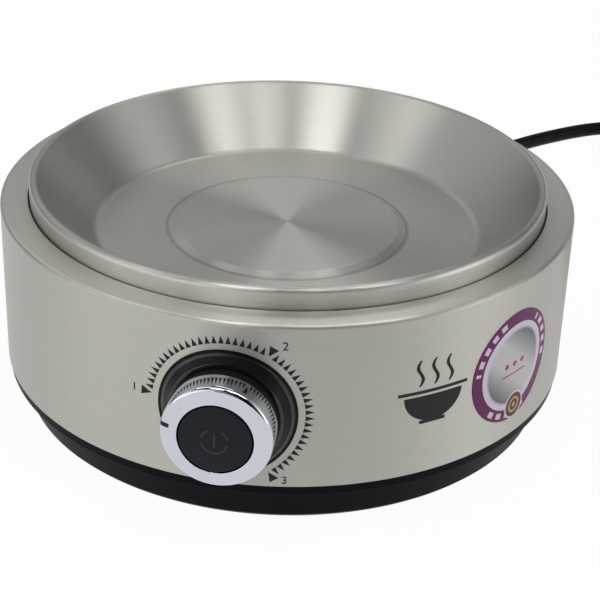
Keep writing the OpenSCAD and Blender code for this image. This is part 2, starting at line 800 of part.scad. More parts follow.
module board_wires() {
    exit_y = block_at[1] - block[1] / 2 - wire_gap;
    exit_h = tray_floor_z + 5;
    far = block_at[0] - block_pitch;
    floor_z = tray_floor_z + 2.8;
    plug_y = connector_h - board_back + wire_gap;
    plug_z = knob_z - 13;
    color("white") for (x = [0, -3.2]) {
        wire([[x + far, exit_y, exit_h], [x + far, exit_y - 5, exit_h], [x + far - 1, 8, floor_z],
            [x + far + 1, -14, floor_z], [x + far + 9, -36, floor_z + 0.6], [x - 26, -54, floor_z + 5],
            [x - 14, plug_y + 12, plug_z - 11], [x - 10.5, plug_y + 8, plug_z - 4],
            [x - 10.5, plug_y + 4, plug_z], [x - 10.5, plug_y, plug_z]]);
    }
}

// ---- board behind the dial ----

module board_bracket() {
    color("darkgray") on_dial() difference() {
        union() {
            slab(bracket_plate[0], bracket_plate[1], bracket_back, bracket_front);
            for (side = [-1, 1]) translate([side * (bracket_plate[0] - bracket_t) / 2, 0, 0])
                slab(bracket_t, bracket_plate[1] - 12, bracket_back, bracket_back + bracket_side);
            for (x = [-standoff_x, standoff_x], y = [-standoff_y, standoff_y]) translate([x, y, 0])
                rod(standoff_r, board_front, bracket_back + eps);
        }
        rod(bush_r + part_gap, bracket_back - 1, bracket_front + 1);
        for (x = [-post_x, post_x]) translate([x, 0, 0])
            rod(m3[0] + hole_gap, bracket_back - 1, bracket_front + 1);
        for (x = [-standoff_x, standoff_x], y = [-standoff_y, standoff_y]) translate([x, y, 0])
            rod(m2[0] + thread_gap, board_front - 1, bracket_back - 0.8);
    }
}

module bezel_screws() {
    color("gainsboro") on_dial() for (x = [-post_x, post_x]) translate([x, 0, 0])
        screw_up(m3, bracket_back, 6.6);
}

module control_board() {
    color("darkgreen") on_dial() difference() {
        slab(board_w, board_h, board_back, board_front);
        for (x = [-standoff_x, standoff_x], y = [-standoff_y, standoff_y]) translate([x, y, 0])
            rod(m2[0] + hole_gap, board_back - 1, board_front + 1);
    }
}

module board_screws() {
    color("gainsboro") on_dial() for (x = [-standoff_x, standoff_x], y = [-standoff_y, standoff_y])
        translate([x, y, 0]) screw_up(m2, board_back, board_t + 4);
}

// Relay, film capacitor, buzzer and plug-in connector on the board's inner side
module board_parts() {
    color("midnightblue") on_dial() {
        translate([-5, 8, 0]) slab(19, 15, board_back - 15, board_back);
        translate([10.5, 8, 0]) slab(7, 13, board_back - 9, board_back);
        translate([8, -9, 0]) rod(6, board_back - 8, board_back);
        translate([-12, -13, 0]) slab(10, 7, board_back - connector_h, board_back);
    }
}

module pot_housing() {
    color("slategray") on_dial() difference() {
        union() {
            rod(pot_r, board_front, bracket_back);
            rod(bush_r, bracket_back - eps, bush_front);
        }
        rod(shaft_r + run_fit, bracket_back - pot_wall, bush_front + 1);
        rod(rotor_flange_r + part_gap, board_front + pot_wall, flange_back + rotor_flange_t + part_gap);
        rod(cup_r + 0.6, board_front - 1, board_front + pot_wall + 1);
    }
}

module pot_nut() {
    color("gainsboro") on_dial() difference() {
        translate([0, 0, bracket_front]) cylinder(r = bezel_bore_r - 0.5, h = 2.5, $fn = 6);
        rod(bush_r + thread_gap, bracket_front - 1, bracket_front + 4);
    }
}

module pot_rotor() {
    color("gray") on_dial() {
        ring(shaft_r, shaft_bore_r, flange_back, shaft_front);
        ring(rotor_flange_r, shaft_bore_r, flange_back, flange_back + rotor_flange_t);
    }
}

// ---- button ----

// Fixed sleeve through the hollow shaft: it holds the switch's cup and keys the button's stem
module button_guide() {
    color("whitesmoke") on_dial() difference() {
        union() {
            rod(cup_r, board_front, cup_front);
            rod(guide_r, cup_front - eps, guide_front);
        }
        slab(2 * cup_half, 2 * cup_half, board_front - 1, cup_front - 1);
        rod(stem_r + slide_fit, cup_front - 2, guide_front + 1);
        translate([0, (key_r + part_gap) / 2, 0])
            slab(key_w + 2 * part_gap, key_r + part_gap, cup_front - 2, guide_front + 1);
    }
}

module tact_switch() {
    color("black") on_dial() {
        slab(switch_w, switch_w, board_front, board_front + switch_h);
        rod(plunger_r, board_front + switch_h - eps, board_front + switch_h + plunger_h);
    }
}

module power_button() {
    dome_r = (button_r * button_r + dome_h * dome_h) / (2 * dome_h);
    front = body_r + button_front;
    color("#202124") on_dial() {
        difference() {
            intersection() {
                rod(button_r, front - cap_skirt, front + 1);
                translate([0, 0, front - dome_r]) sphere(r = dome_r, $fn = 128);
            }
            rod(button_r - 1.6, front - cap_skirt - 1, cap_back);
        }
        difference() {
            union() {
                rod(stem_r, stem_back, cap_back + eps);
                translate([0, key_r / 2, 0]) slab(key_w, key_r, cup_front + button_travel, cap_back + eps);
            }
            ring(stem_r + 1, stem_r - clip_groove, clip_front - clip_t, clip_front);
        }
    }
}

// The ring that keeps the stem in its guide
module button_clip() {
    color("gainsboro") on_dial() difference() {
        ring(clip_r, stem_r - clip_groove, clip_front - clip_t, clip_front);
        translate([0, -clip_r, 0]) slab(2.6, 2 * clip_r, clip_front - 2, clip_front + 1);
    }
}

module button_spring() {
    back = guide_front + spring_wire;
    length = cap_back - spring_wire - back;
    steps = 12 * spring_turns;
    route = [for (i = [0 : steps])
        [spring_r * cos(i * 30), spring_r * sin(i * 30), back + length * i / steps]];
    color("lightgray") on_dial() tube(route, spring_wire, 6);
}

// ---- dial ----

// Curved outer flange, a collar that rises from the wall's curve to a flat crown, and two rear posts
module knob_bezel() {
    color("#151515") difference() {
        union() {
            hull() {
                intersection() {
                    rod(body_r + shoulder_h, knob_z - 30, knob_z + 30);
                    on_dial() rod(shoulder_r, body_r - 4, body_r + 4, $fn = 48);
                }
                on_dial() rod(bezel_crown_r, body_r - 4, body_r + bezel_crown, $fn = 48);
            }
            intersection() {
                rod(body_r + flange_h, knob_z - 30, knob_z + 30);
                on_dial() rod(bezel_r, body_r - 5, body_r + 4);
            }
            on_dial() rod(bezel_plug_r, bezel_back, body_r - 4 + eps);
            on_dial() for (x = [-post_x, post_x]) translate([x, 0, 0])
                rod(post_r, bracket_front, bezel_back + eps);
        }
        difference() {
            rod(body_r, knob_z - 31, knob_z + 31);
            on_dial() rod(bezel_plug_r, 0, body_r + 5);
        }
        on_dial() rod(bezel_bore_r, bezel_back - 1, body_r + 5);
        on_dial() for (x = [-post_x, post_x]) translate([x, 0, 0])
            rod(m3[0] + thread_gap, bracket_front - 1, body_r - 2.4);
    }
}

module knob_base() {
    color("#1b1b1d") on_dial() rotate_extrude() polygon([
        [shaft_r + push_gap, hub_back], [hub_r, hub_back], [hub_r, web_back],
        [seat_r - 2, web_back], [base_r - 2, base_back], [base_r, base_back], [base_r, body_r + ring_back],
        [seat_r, body_r + ring_back], [seat_r, seat_front], [seat_r - 1.8, seat_front],
        [seat_r - 1.8, web_back + web_t], [shaft_r + push_gap, web_back + web_t]]);
}

// The solid of the chromed ring before the pointer's slot is cut
module ring_solid() {
    front = body_r + ring_front;
    inner_r = ring_back_r - ring_t;
    rotate_extrude() polygon([
        [ring_back_r, body_r + ring_back], [ring_front_r, front - face_edge],
        [ring_front_r - face_edge, front], [face_bore_r, front + face_rise],
        [face_bore_r, front - 2], [face_bore_r + 1, front - 2],
        [face_bore_r + 1, front + face_rise - 1.6], [inner_r, front - 1.6],
        [inner_r, body_r + ring_back]]);
}

// The pointer's slot, or the strip that fills it
module pointer_slot(width, depth) {
    rotate([0, 0, -pointer_a]) translate([-width / 2, ring_front_r - 2.9, body_r + ring_front - depth])
        cube([width, 6, depth + 2]);
}

module knob_ring() {
    color("white") on_dial() difference() {
        ring_solid();
        pointer_slot(pointer_w, 1.2);
    }
}

module knob_pointer() {
    color("#101010") on_dial() intersection() {
        ring_solid();
        pointer_slot(pointer_w - 2 * push_gap, 1.2 - push_gap);
    }
}

module seal_label() {
    color("purple") intersection() {
        ring(body_r + seal_t, body_r, top_z - seal_drop - seal_r - 1, top_z - seal_drop + seal_r + 1);
        rotate([0, 0, seal_a]) translate([0, 0, top_z - seal_drop]) rotate([90, 0, 0])
            rod(seal_r, body_r - 12, body_r + 5);
    }
}

// ---- free lead ----

module power_cord() {
    color("#121212") tube(cord_route, cord_r, 12, [0.02, 0.03, 1]);
}

module cord_coil() {
    color("#161616") translate([coil_c[0], coil_c[1], 0])
        ring(coil_out_r, coil_in_r, coil_z, coil_z + cord_d);
}

// One point of the coil's climbing last stretch, t from 0 to climb_share
function climb(t) =
    let (a = coil_turns * 360 - climb_a * (1 - t / climb_share), r = coil_r0 - coil_pitch * a / 360,
        rise = climb_h * (3 * t * t - 2 * t * t * t))
    [coil_c[0] + r * sin(a), coil_c[1] + r * cos(a), coil_z + cord_r + rise];

module plug_lead() {
    steps = 6;
    color("#121212") tube(concat([for (i = [0 : steps]) climb(climb_share * i / steps)], lead_end),
        cord_r, 12, [0.02, 0.03, 1]);
}

module cord_tie() {
    inner = sqrt(pow(coil_in_r, 2) - pow(tie_w / 2, 2)) - 0.2;
    wide = coil_out_r + 0.2 - inner;
    color("#0d0d0d") translate([coil_c[0], coil_c[1], 0]) rotate([0, 0, tie_a])
        translate([inner + wide / 2, 0, 0]) difference() {
            slab(wide + 2 * tie_t, tie_w, coil_z - tie_t, coil_z + cord_d + tie_t);
            slab(wide, tie_w + 2, coil_z, coil_z + cord_d);
        }
}

// A three-pin plug that lies on its back, with its lead's entry facing the coil
module plug_body() {
    last = lead_end[len(lead_end) - 1];
    root = last[1] - plug_relief;
    half = plug_w / 2 - plug_corner;
    color("#141414") {
        translate([last[0], last[1], last[2]]) rotate([90, 0, 0])
            cylinder(r1 = cord_r + 0.9, r2 = 6.2, h = plug_relief + 1);
        translate([last[0], root, 0]) linear_extrude(plug_t) hull() {
            for (x = [-half, half]) translate([x, plug_corner - plug_l]) circle(r = plug_corner);
            for (x = [-half + 5, half - 5]) translate([x, -plug_corner]) circle(r = plug_corner);
        }
    }
}

module plug_pins() {
    last = lead_end[len(lead_end) - 1];
    line_y = last[1] - plug_relief - 14;
    color("gold") translate([last[0], line_y, 0]) {
        for (x = [-11.1, 11.1]) translate([x, 0, 0]) slab(6.35, 4, plug_t, plug_t + 17.7);
        translate([0, -22.2, 0]) slab(4, 8, plug_t, plug_t + 22.7);
    }
}

outer_shell();
heating_pan();
pan_gasket();
pan_studs();
pan_nuts();
heater_plate();
heating_element();
element_tabs();
thermostat();
thermostat_clamp();
clamp_screws();
thermal_fuse();
fuse_clip();
heat_shield();
shield_spacers();
shield_screws();
shell_brackets();
base_tray();
base_screws();
foot_pads();
strain_relief();
cord_core();
cord_clamp();
clamp_bolts();
terminal_block();
terminal_screws();
earth_lug();
earth_screw();
mains_wires();
heater_wires();
board_wires();
board_bracket();
bezel_screws();
control_board();
board_screws();
board_parts();
pot_housing();
pot_nut();
pot_rotor();
button_guide();
tact_switch();
power_button();
button_clip();
button_spring();
knob_bezel();
knob_base();
knob_ring();
knob_pointer();
seal_label();
power_cord();
cord_coil();
plug_lead();
cord_tie();
plug_body();
plug_pins();
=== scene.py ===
import json
import math

import bpy
import bmesh
from mathutils import Matrix, Vector


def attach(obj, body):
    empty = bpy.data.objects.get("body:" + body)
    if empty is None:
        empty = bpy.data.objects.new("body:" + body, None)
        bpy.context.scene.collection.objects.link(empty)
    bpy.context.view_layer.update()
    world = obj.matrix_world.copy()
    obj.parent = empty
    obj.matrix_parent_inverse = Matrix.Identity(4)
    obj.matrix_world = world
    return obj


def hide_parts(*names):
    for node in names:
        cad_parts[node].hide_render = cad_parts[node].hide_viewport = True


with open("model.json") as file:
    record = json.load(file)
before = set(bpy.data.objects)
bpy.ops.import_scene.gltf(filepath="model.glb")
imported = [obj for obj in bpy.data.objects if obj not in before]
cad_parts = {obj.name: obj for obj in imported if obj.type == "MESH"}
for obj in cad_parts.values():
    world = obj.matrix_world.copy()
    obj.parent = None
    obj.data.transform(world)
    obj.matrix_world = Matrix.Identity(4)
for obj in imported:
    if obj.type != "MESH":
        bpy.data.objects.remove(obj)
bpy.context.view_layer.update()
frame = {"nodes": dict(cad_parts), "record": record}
mm = 0.001


def say(stage):
    print("egg cooker:", stage)


def linked(name, data):
    seat = bpy.data.objects.new(name, data)
    bpy.context.collection.objects.link(seat)
    return seat


# where the camera stands, in metres, and its three directions
camera = {
    "sensor": 36, "lens": 98.52,
    "place": (0.09038, -0.52051, 0.31339),
    "ahead": (-0.14211, 0.87138, -0.46957),
    "right": (0.98382, 0.17662, 0.03000),
    "up": (-0.10907, 0.45772, 0.88238),
}


def addCamera(size):
    lens = bpy.data.cameras.new("camera")
    lens.sensor_width = size["sensor"]
    lens.lens = size["lens"]
    seat = linked("camera", lens)
    turn = Matrix((size["right"], size["up"], -Vector(size["ahead"]))).transposed().to_4x4()
    turn.translation = size["place"]
    seat.matrix_world = turn
    bpy.context.scene.camera = seat


addCamera(camera)
say("camera is set")


class Wire:
    # one value inside a material; sums and products of wires add their own Math nodes
    def __init__(self, finish, socket):
        self.finish = finish
        self.socket = socket

    def maths(self, operation, *values):
        return self.finish.node("ShaderNodeMath", {"operation": operation}, dict(enumerate(values)))

    def __add__(self, other):
        return self.maths("ADD", self, other)

    def __radd__(self, other):
        return self.maths("ADD", other, self)

    def __sub__(self, other):
        return self.maths("SUBTRACT", self, other)

    def __rsub__(self, other):
        return self.maths("SUBTRACT", other, self)

    def __mul__(self, other):
        return self.maths("MULTIPLY", self, other)

    def __rmul__(self, other):
        return self.maths("MULTIPLY", other, self)

    def __truediv__(self, other):
        return self.maths("DIVIDE", self, other)

    def __rtruediv__(self, other):
        return self.maths("DIVIDE", other, self)

    def __pow__(self, other):
        return self.maths("POWER", self, other)

    def __rpow__(self, other):
        return self.maths("POWER", other, self)

    def __gt__(self, other):
        return self.maths("GREATER_THAN", self, other)

    def __lt__(self, other):
        return self.maths("LESS_THAN", self, other)

    def __abs__(self):
        return self.maths("ABSOLUTE", self)

    def part(self):
        return self.maths("FRACT", self)

    def orElse(self, other):
        return self.maths("MAXIMUM", self, other)


class Finish:
    # a material with one Principled shader; constants go straight on its sockets
    def __init__(self, name, **constants):
        self.material = bpy.data.materials.new(name)
        self.material.use_nodes = True
        self.tree = self.material.node_tree
        self.shader = self.tree.nodes["Principled BSDF"]
        for key, value in constants.items():
            self.shader.inputs[key.replace("_", " ")].default_value = value

    def node(self, kind, settings, values, output=0):
        made = self.tree.nodes.new(kind)
        for key, value in settings.items():
            setattr(made, key, value)
        for key, value in values.items():
            self.join(made.inputs[key], value)
        return Wire(self, made.outputs[output])

    def join(self, entry, value):
        if isinstance(value, Wire):
            self.tree.links.new(value.socket, entry)
        else:
            entry.default_value = value

    def feed(self, **links):
        for key, value in links.items():
            self.join(self.shader.inputs[key.replace("_", " ")], value)

    def spot(self):
        return self.node("ShaderNodeTexCoord", {}, {}, "Object")

    def split(self, vector):
        parts = self.node("ShaderNodeSeparateXYZ", {}, {"Vector": vector})
        outputs = parts.socket.node.outputs
        return [Wire(self, outputs[i]) for i in range(3)]

    def gather(self, x, y, z):
        return self.node("ShaderNodeCombineXYZ", {}, {"X": x, "Y": y, "Z": z})

    def noise(self, vector, scale, detail=2.0, rough=0.5):
        return self.node("ShaderNodeTexNoise", {}, {"Vector": vector, "Scale": scale, "Detail": detail,
                                                    "Roughness": rough})

    def blend(self, share, first, second):
        # plain colours are given as three numbers
        first, second = (c if isinstance(c, Wire) else (*c, 1) for c in (first, second))
        return self.node("ShaderNodeMix", {"data_type": "RGBA"}, {0: share, 6: first, 7: second}, 2)

    def fit(self, value, low, high, newLow=0.0, newHigh=1.0):
        return self.node("ShaderNodeMapRange", {}, {"Value": value, "From Min": low, "From Max": high,
                                                    "To Min": newLow, "To Max": newHigh})

    def bump(self, height, depth):
        return self.node("ShaderNodeBump", {}, {"Height": height, "Distance": depth * mm, "Strength": 1.0})

    def round(self, vector):
        # direction and distance from the Z axis, for marks that run round a turned piece
        x, y, z = self.split(vector)
        out = (x * x + y * y) ** 0.5
        return x / out, y / out, out, z


def brushed(name, size):
    # sheet metal with fine marks that run round the Z axis
    finish = Finish(name, Metallic=1.0, Anisotropic=size["stretch"], Anisotropic_Rotation=0.25)
    along, across, out, z = finish.round(finish.spot())
    marks = []
    for pitch, run in size["marks"]:
        lane = (out + z * 1.3) / (pitch * mm)
        marks.append(finish.noise(finish.gather(along * run, across * run, lane), 1.0, 2.0, 0.6))
    fine, coarse = marks
    cloud = finish.noise(finish.spot(), size["cloud"], 3.0)
    tone = fine * size["fine"] + coarse * size["coarse"] + cloud * size["soil"]
    middle = 0.5 * (size["fine"] + size["coarse"] + size["soil"])
    share = finish.fit(tone, middle - size["spread"], middle + size["spread"])
    colour = finish.blend(share, size["dark"], size["light"])
    level, paintedLightGain = size["band"]        # above this height the colour is painted lighter, painted light for the top face that looks up at the lamps
    pale = finish.blend(share, [c * paintedLightGain for c in size["dark"]], [c * paintedLightGain for c in size["light"]])
    colour = finish.blend(z > level * mm, colour, pale)
    at, half, amount = size["shadeRing"]   # a narrow dark ring of painted shade, at the foot of a step and in the gap beside it
    shadeRing = finish.fit(abs(out - at * mm), 0, half * mm, amount, 0)
    finish.feed(Base_Color=finish.blend(shadeRing, colour, size["paintedShade"]),
                Roughness=finish.fit(fine * 0.6 + cloud * 0.4, 0.25, 0.75, *size["gloss"]),
                Normal=finish.bump(fine, size["depth"]))
    return finish


def moulded(name, colour, gloss, grain=0.5, depth=0.02, speck=0.15, shine=0.3):
    # plastic or rubber with a fine cast texture
    finish = Finish(name, Specular_IOR_Level=shine)
    here = finish.spot()
    skin = finish.noise(here, 1 / (grain * mm), 3.0, 0.6)
    cloud = finish.noise(here, 90.0, 2.0)
    light = tuple(min(1, c * (1 + speck) + 0.0015) for c in colour)
    finish.feed(Base_Color=finish.blend(skin * 0.5 + cloud * 0.5, colour, light),
                Roughness=finish.fit(cloud * 0.6 + skin * 0.4, 0.3, 0.7, gloss - 0.05, gloss + 0.06),
                Normal=finish.bump(skin, depth))
    return finish


def bezelBlack(name, size):
    # polished on its two rounded turns, duller between them, and painted near black at the outer lip as
    # painted shade
    finish = Finish(name, Specular_IOR_Level=size["shine"], Coat_Roughness=0.1, Coat_IOR=1.5)
    here = finish.spot()
    x, y, z = finish.split(here)
    level = z - size["level"] * mm
    out = (x * x + level * level) ** 0.5 / mm
    skin = finish.noise(here, 1 / (size["grain"] * mm), 3.0, 0.6)
    wipe = finish.noise(here, 90.0, 2.0)
    light = [c * 1.1 + 0.0015 for c in size["colour"]]
    colour = finish.blend(skin * 0.5 + wipe * 0.5, size["colour"], light)
    shoulder, crown = (abs(out - turn) < size["turnWide"] for turn in size["turns"])
    # beyond the lip radius the colour is painted shade, near black
    finish.feed(Base_Color=finish.blend(out > size["lip"], colour, size["paintedLipShade"]),
                Roughness=finish.fit(wipe, 0.3, 0.7, *size["gloss"]),
                Coat_Weight=shoulder.orElse(crown) * size["coat"], Normal=finish.bump(skin, 0.001))
    return finish


def plainMetal(name, colour, gloss, grain=1.2, depth=0.01):
    # plated, cast or stamped metal
    finish = Finish(name, Metallic=1.0)
    here = finish.spot()
    cloud = finish.noise(here, 1 / (grain * mm), 4.0, 0.65)
    dull = tuple(c * 0.8 for c in colour)
    finish.feed(Base_Color=finish.blend(cloud, dull, colour), Normal=finish.bump(cloud, depth),
                Roughness=finish.fit(cloud, 0.3, 0.7, gloss - 0.07, gloss + 0.08))
    return finish


def chromed(name, size):
    # plated plastic: near mirror, with the faint waviness of the moulding below it
    finish = Finish(name, Metallic=1.0)
    here = finish.spot()
    wave = finish.noise(here, 110.0, 1.0)
    haze = finish.noise(here, 900.0, 3.0)
    finish.feed(Base_Color=finish.blend(haze, size["tint"], size["light"]),
                Normal=finish.bump(wave, 0.012),
                Roughness=finish.fit(haze, 0.35, 0.65, size["gloss"], size["gloss"] + 0.03))
    return finish


def inked(name, colour, gloss=0.45):
    # screen print: a dull even ink that is a little thin in places
    finish = Finish(name, Specular_IOR_Level=0.2)
    here = finish.spot()
    thin = finish.noise(here, 1400.0, 3.0, 0.6)
    pale = tuple(min(1, c * 1.25 + 0.012) for c in colour)
    finish.feed(Base_Color=finish.blend(thin, colour, pale), Normal=finish.bump(thin, 0.004),
                Roughness=finish.fit(thin, 0.3, 0.7, gloss - 0.04, gloss + 0.06))
    return finish


# heights above the table, and the drum's radius, in mm
levels = {"dial": 44.8, "cord": 10}
drumR = 100

drumSteel = {
    "dark": (0.438, 0.431, 0.39), "light": (0.51, 0.502, 0.46), "gloss": (0.37, 0.42), "stretch": 0.9,
    "marks": ((0.12, 14.0), (0.9, 5.0)), "fine": 0.8, "coarse": 0.2, "soil": 0.3, "cloud": 16.0,
    # the band paints the drum's top face 1.5 times lighter above 76.2 mm, a painted highlight
    "spread": 0.22, "depth": 0.0006, "band": (76.2, 1.5),
    # the ring below paints shade on the inner edge of the top face, where the gap to the pan is
    "shadeRing": (90.4, 0.5, 0.3), "paintedShade": (0.06, 0.058, 0.05),
}
panSteel = {
    "dark": (0.5, 0.492, 0.455), "light": (0.575, 0.568, 0.53), "gloss": (0.33, 0.38), "stretch": 0.9,
    "marks": ((0.25, 7.0), (1.2, 3.0)), "fine": 0.75, "coarse": 0.25, "soil": 0.25, "cloud": 14.0,
    "spread": 0.22, "depth": 0.0006, "band": (100, 1),
    # the ring below paints shade at the foot of the pan's boss
    "shadeRing": (42.6, 1.0, 0.4), "paintedShade": (0.06, 0.058, 0.05),
}
bezelSkin = {
    "level": levels["dial"], "colour": (0.007, 0.007, 0.0085), "shine": 0.12, "gloss": (0.22, 0.3),
    "grain": 0.6, "coat": 0.8, "turns": (20.8, 17.9), "turnWide": 0.45,
    # outside the lip radius the bezel's colour is painted shade
    "lip": 21.5, "paintedLipShade": (0.0008, 0.0008, 0.001),
}
dialChrome = {"tint": (0.53, 0.56, 0.62), "light": (0.58, 0.61, 0.67), "gloss": 0.06}

finishes = {
    "drum_steel": brushed("drumSteel", drumSteel),
    "pan_steel": brushed("panSteel", panSteel),
    "dark_silicone": moulded("darkSilicone", (0.02, 0.02, 0.022), 0.5, 0.5, 0.006, 0.15, 0.15),
    "zinc_steel": plainMetal("zincSteel", (0.62, 0.63, 0.65), 0.3),
    "cast_aluminium": plainMetal("castAluminium", (0.55, 0.56, 0.57), 0.5, 0.8),
    "element_sheath": plainMetal("elementSheath", (0.22, 0.21, 0.2), 0.45),
    "brass": plainMetal("brassPin", (0.78, 0.6, 0.3), 0.24, 7, 0.002),
    "ceramic": moulded("ceramic", (0.82, 0.8, 0.74), 0.6, 0.3),
    "fuse_metal": plainMetal("fuseMetal", (0.7, 0.7, 0.68), 0.3),
    "shield_aluminium": plainMetal("shieldAluminium", (0.66, 0.67, 0.68), 0.35, 2.0),
    "black_plastic": moulded("blackPlastic", (0.0028, 0.0029, 0.0046), 0.42, 0.35, 0.004, 0.15, 0.06),
    "foot_rubber": moulded("footRubber", (0.03, 0.03, 0.03), 0.7, 0.5, 0.03),
    "cord_rubber": moulded("cordRubber", (0.004, 0.004, 0.0045), 0.42, 0.4, 0.004, 0.1, 0.12),
    "white_nylon": moulded("whiteNylon", (0.8, 0.79, 0.74), 0.45),
    "wire_colours": moulded("wireColours", (0.4, 0.2, 0.1), 0.45),
    "circuit_board": moulded("circuitBoard", (0.03, 0.16, 0.06), 0.4, 1.0),
    "component_plastic": moulded("componentPlastic", (0.05, 0.05, 0.055), 0.4),
    "button_plastic": moulded("buttonPlastic", (0.0085, 0.0098, 0.0135), 0.3, 0.5, 0.002, 0.1, 0.15),
    "bezel_plastic": bezelBlack("bezelPlastic", bezelSkin),
    "knob_plastic": moulded("knobPlastic", (0.008, 0.008, 0.009), 0.28, 0.5, 0.003, 0.1, 0.25),
    "knob_chrome": chromed("knobChrome", dialChrome),
    "seal_film": inked("sealFilm", (0.72, 0.7, 0.74), 0.3),
    "tie_plastic": moulded("tiePlastic", (0.008, 0.008, 0.008), 0.5, 0.5, 0.01, 0.1, 0.15),
    "plug_plastic": moulded("plugPlastic", (0.009, 0.009, 0.0095), 0.36, 0.4, 0.006, 0.1, 0.2),
}
printBlack = inked("printBlack", (0.009, 0.0088, 0.0082))
startSign = inked("startSign", (0.028, 0.03, 0.034), 0.3)
for entry in frame["record"]["subparts"]:
    part = frame["nodes"][entry["node"]]
    part.data.materials.clear()
    part.data.materials.append(finishes[entry["material_slot"]].material)
say("finishes are made")


# the helpers work in millimetres and degrees
def takeUp(piece):
    if bpy.context.mode != "OBJECT":
        bpy.ops.object.mode_set(mode="OBJECT")
    bpy.ops.object.select_all(action="DESELECT")
    piece.select_set(True)
    bpy.context.view_layer.objects.active = piece


def newest(name):
    piece = bpy.context.object
    piece.name = name
    piece.data.name = name
    return piece


def rounded(corners, fineness=7, guard=0.15):
    # a corner is (radius, height) or (radius, height, bend); a bend becomes an arc, with one more
    # point before and after it that keeps the faces beside it flat
    line = []
    count = len(corners)
    for i, corner in enumerate(corners):
        here = Vector(corner[:2])
        bend = corner[2] if len(corner) > 2 else 0
        if not bend:
            line.append(here)
            continue
        back = (Vector(corners[i - 1][:2]) - here).normalized()
        on = (Vector(corners[(i + 1) % count][:2]) - here).normalized()
        half = back.angle(on) / 2
        reach = bend / math.tan(half)
        middle = here + (back + on).normalized() * (bend / math.sin(half))
        first = here + back * reach - middle
        turn = math.pi - 2 * half
        side = 1 if first.x * (on.y - back.y) - first.y * (on.x - back.x) > 0 else -1
        steps = max(2, round(fineness * turn / (math.pi / 2)))
        line.append(here + back * (reach + guard))
        for k in range(steps + 1):
            a = side * turn * k / steps
            line.append(middle + Vector((first.x * math.cos(a) - first.y * math.sin(a),
                                         first.x * math.sin(a) + first.y * math.cos(a))))
        line.append(here + on * (reach + guard))
    return line


def turned(name, line, steps=192):
    # the outline is drawn point by point from one vertex, then spun round the Z axis
    bpy.ops.mesh.primitive_plane_add(size=mm)
    piece = newest(name)
    bpy.ops.object.mode_set(mode="EDIT")
    bpy.ops.mesh.select_mode(type="VERT")
    bpy.ops.mesh.select_all(action="SELECT")
    bpy.ops.mesh.merge(type="CENTER")
    bpy.ops.transform.translate(value=(line[0][0] * mm, 0, line[0][1] * mm))
    for here, there in zip(line, line[1:] + [line[0]]):
        step = ((there[0] - here[0]) * mm, 0, (there[1] - here[1]) * mm)
        bpy.ops.mesh.extrude_region_move(TRANSFORM_OT_translate={"value": step})
    bpy.ops.mesh.select_all(action="SELECT")
    bpy.ops.mesh.remove_doubles(threshold=1e-7)
    bpy.ops.mesh.spin(steps=steps, angle=math.tau, center=(0, 0, 0), axis=(0, 0, 1))
    bpy.ops.mesh.select_all(action="SELECT")
    bpy.ops.mesh.remove_doubles(threshold=1e-6)
    bpy.ops.mesh.normals_make_consistent(inside=False)
    bpy.ops.object.mode_set(mode="OBJECT")
    return piece


def bar(name, size, middle, parts):
    # a flat bar, cut up along its length so that it can follow the wall
    bpy.ops.mesh.primitive_grid_add(x_subdivisions=parts[0], y_subdivisions=parts[1], size=mm,
                                    location=(middle[0] * mm, middle[1] * mm, 0))
    piece = newest(name)
    piece.scale = (size[0], size[1], 1)
    bpy.ops.object.transform_apply(location=True, rotation=True, scale=True)
    return piece


def block(name, size, middle):
    bpy.ops.mesh.primitive_cube_add(size=1, location=[v * mm for v in middle])
    piece = newest(name)
    piece.scale = [v * mm for v in size]
    bpy.ops.object.transform_apply(location=True, rotation=True, scale=True)
    return piece


def rod(name, r, low, high, sides):
    # a round bar that stands on the Z axis between two heights
    bpy.ops.mesh.primitive_cylinder_add(vertices=sides, radius=r * mm, depth=(high - low) * mm,
                                        location=(0, 0, (low + high) / 2 * mm))
    piece = newest(name)
    bpy.ops.object.transform_apply(location=True, rotation=True, scale=True)
    return piece


def place(piece, move=(0, 0, 0), turn=(0, 0, 0)):
    takeUp(piece)
    piece.rotation_euler = [math.radians(a) for a in turn]
    piece.location = [v * mm for v in move]
    bpy.ops.object.transform_apply(location=True, rotation=True, scale=True)
    return piece


def copyOf(piece, name):
    twin = piece.copy()
    twin.data = piece.data.copy()
    twin.name = twin.data.name = name
    bpy.context.collection.objects.link(twin)
    return twin


def onDial(piece):
    # local Z, the distance from the drum's axis, comes to point out of the front wall
    return place(piece, (0, 0, levels["dial"]), (90, 0, 0))


def apply(piece, kind, **settings):
    takeUp(piece)
    change = piece.modifiers.new(kind.lower(), kind)
    for key, value in settings.items():
        setattr(change, key, value)
    bpy.ops.object.modifier_apply(modifier=change.name)
    return piece


def cutAway(piece, *tools):
    for tool in tools:
        apply(piece, "BOOLEAN", operation="DIFFERENCE", solver="EXACT", object=tool)
        bpy.data.objects.remove(tool)
    return piece


def addOn(piece, other):
    apply(piece, "BOOLEAN", operation="UNION", solver="EXACT", object=other)
    bpy.data.objects.remove(other)
    return piece


def joined(name, pieces):
    takeUp(pieces[0])
    for piece in pieces:
        piece.select_set(True)
    bpy.ops.object.join()
    return newest(name)


def moveBy(piece, rule):
    # each point goes where the rule sends it; the rule works in millimetres
    for v in piece.data.vertices:
        v.co = Vector(rule(v.co / mm)) * mm
    piece.data.update()
    return piece


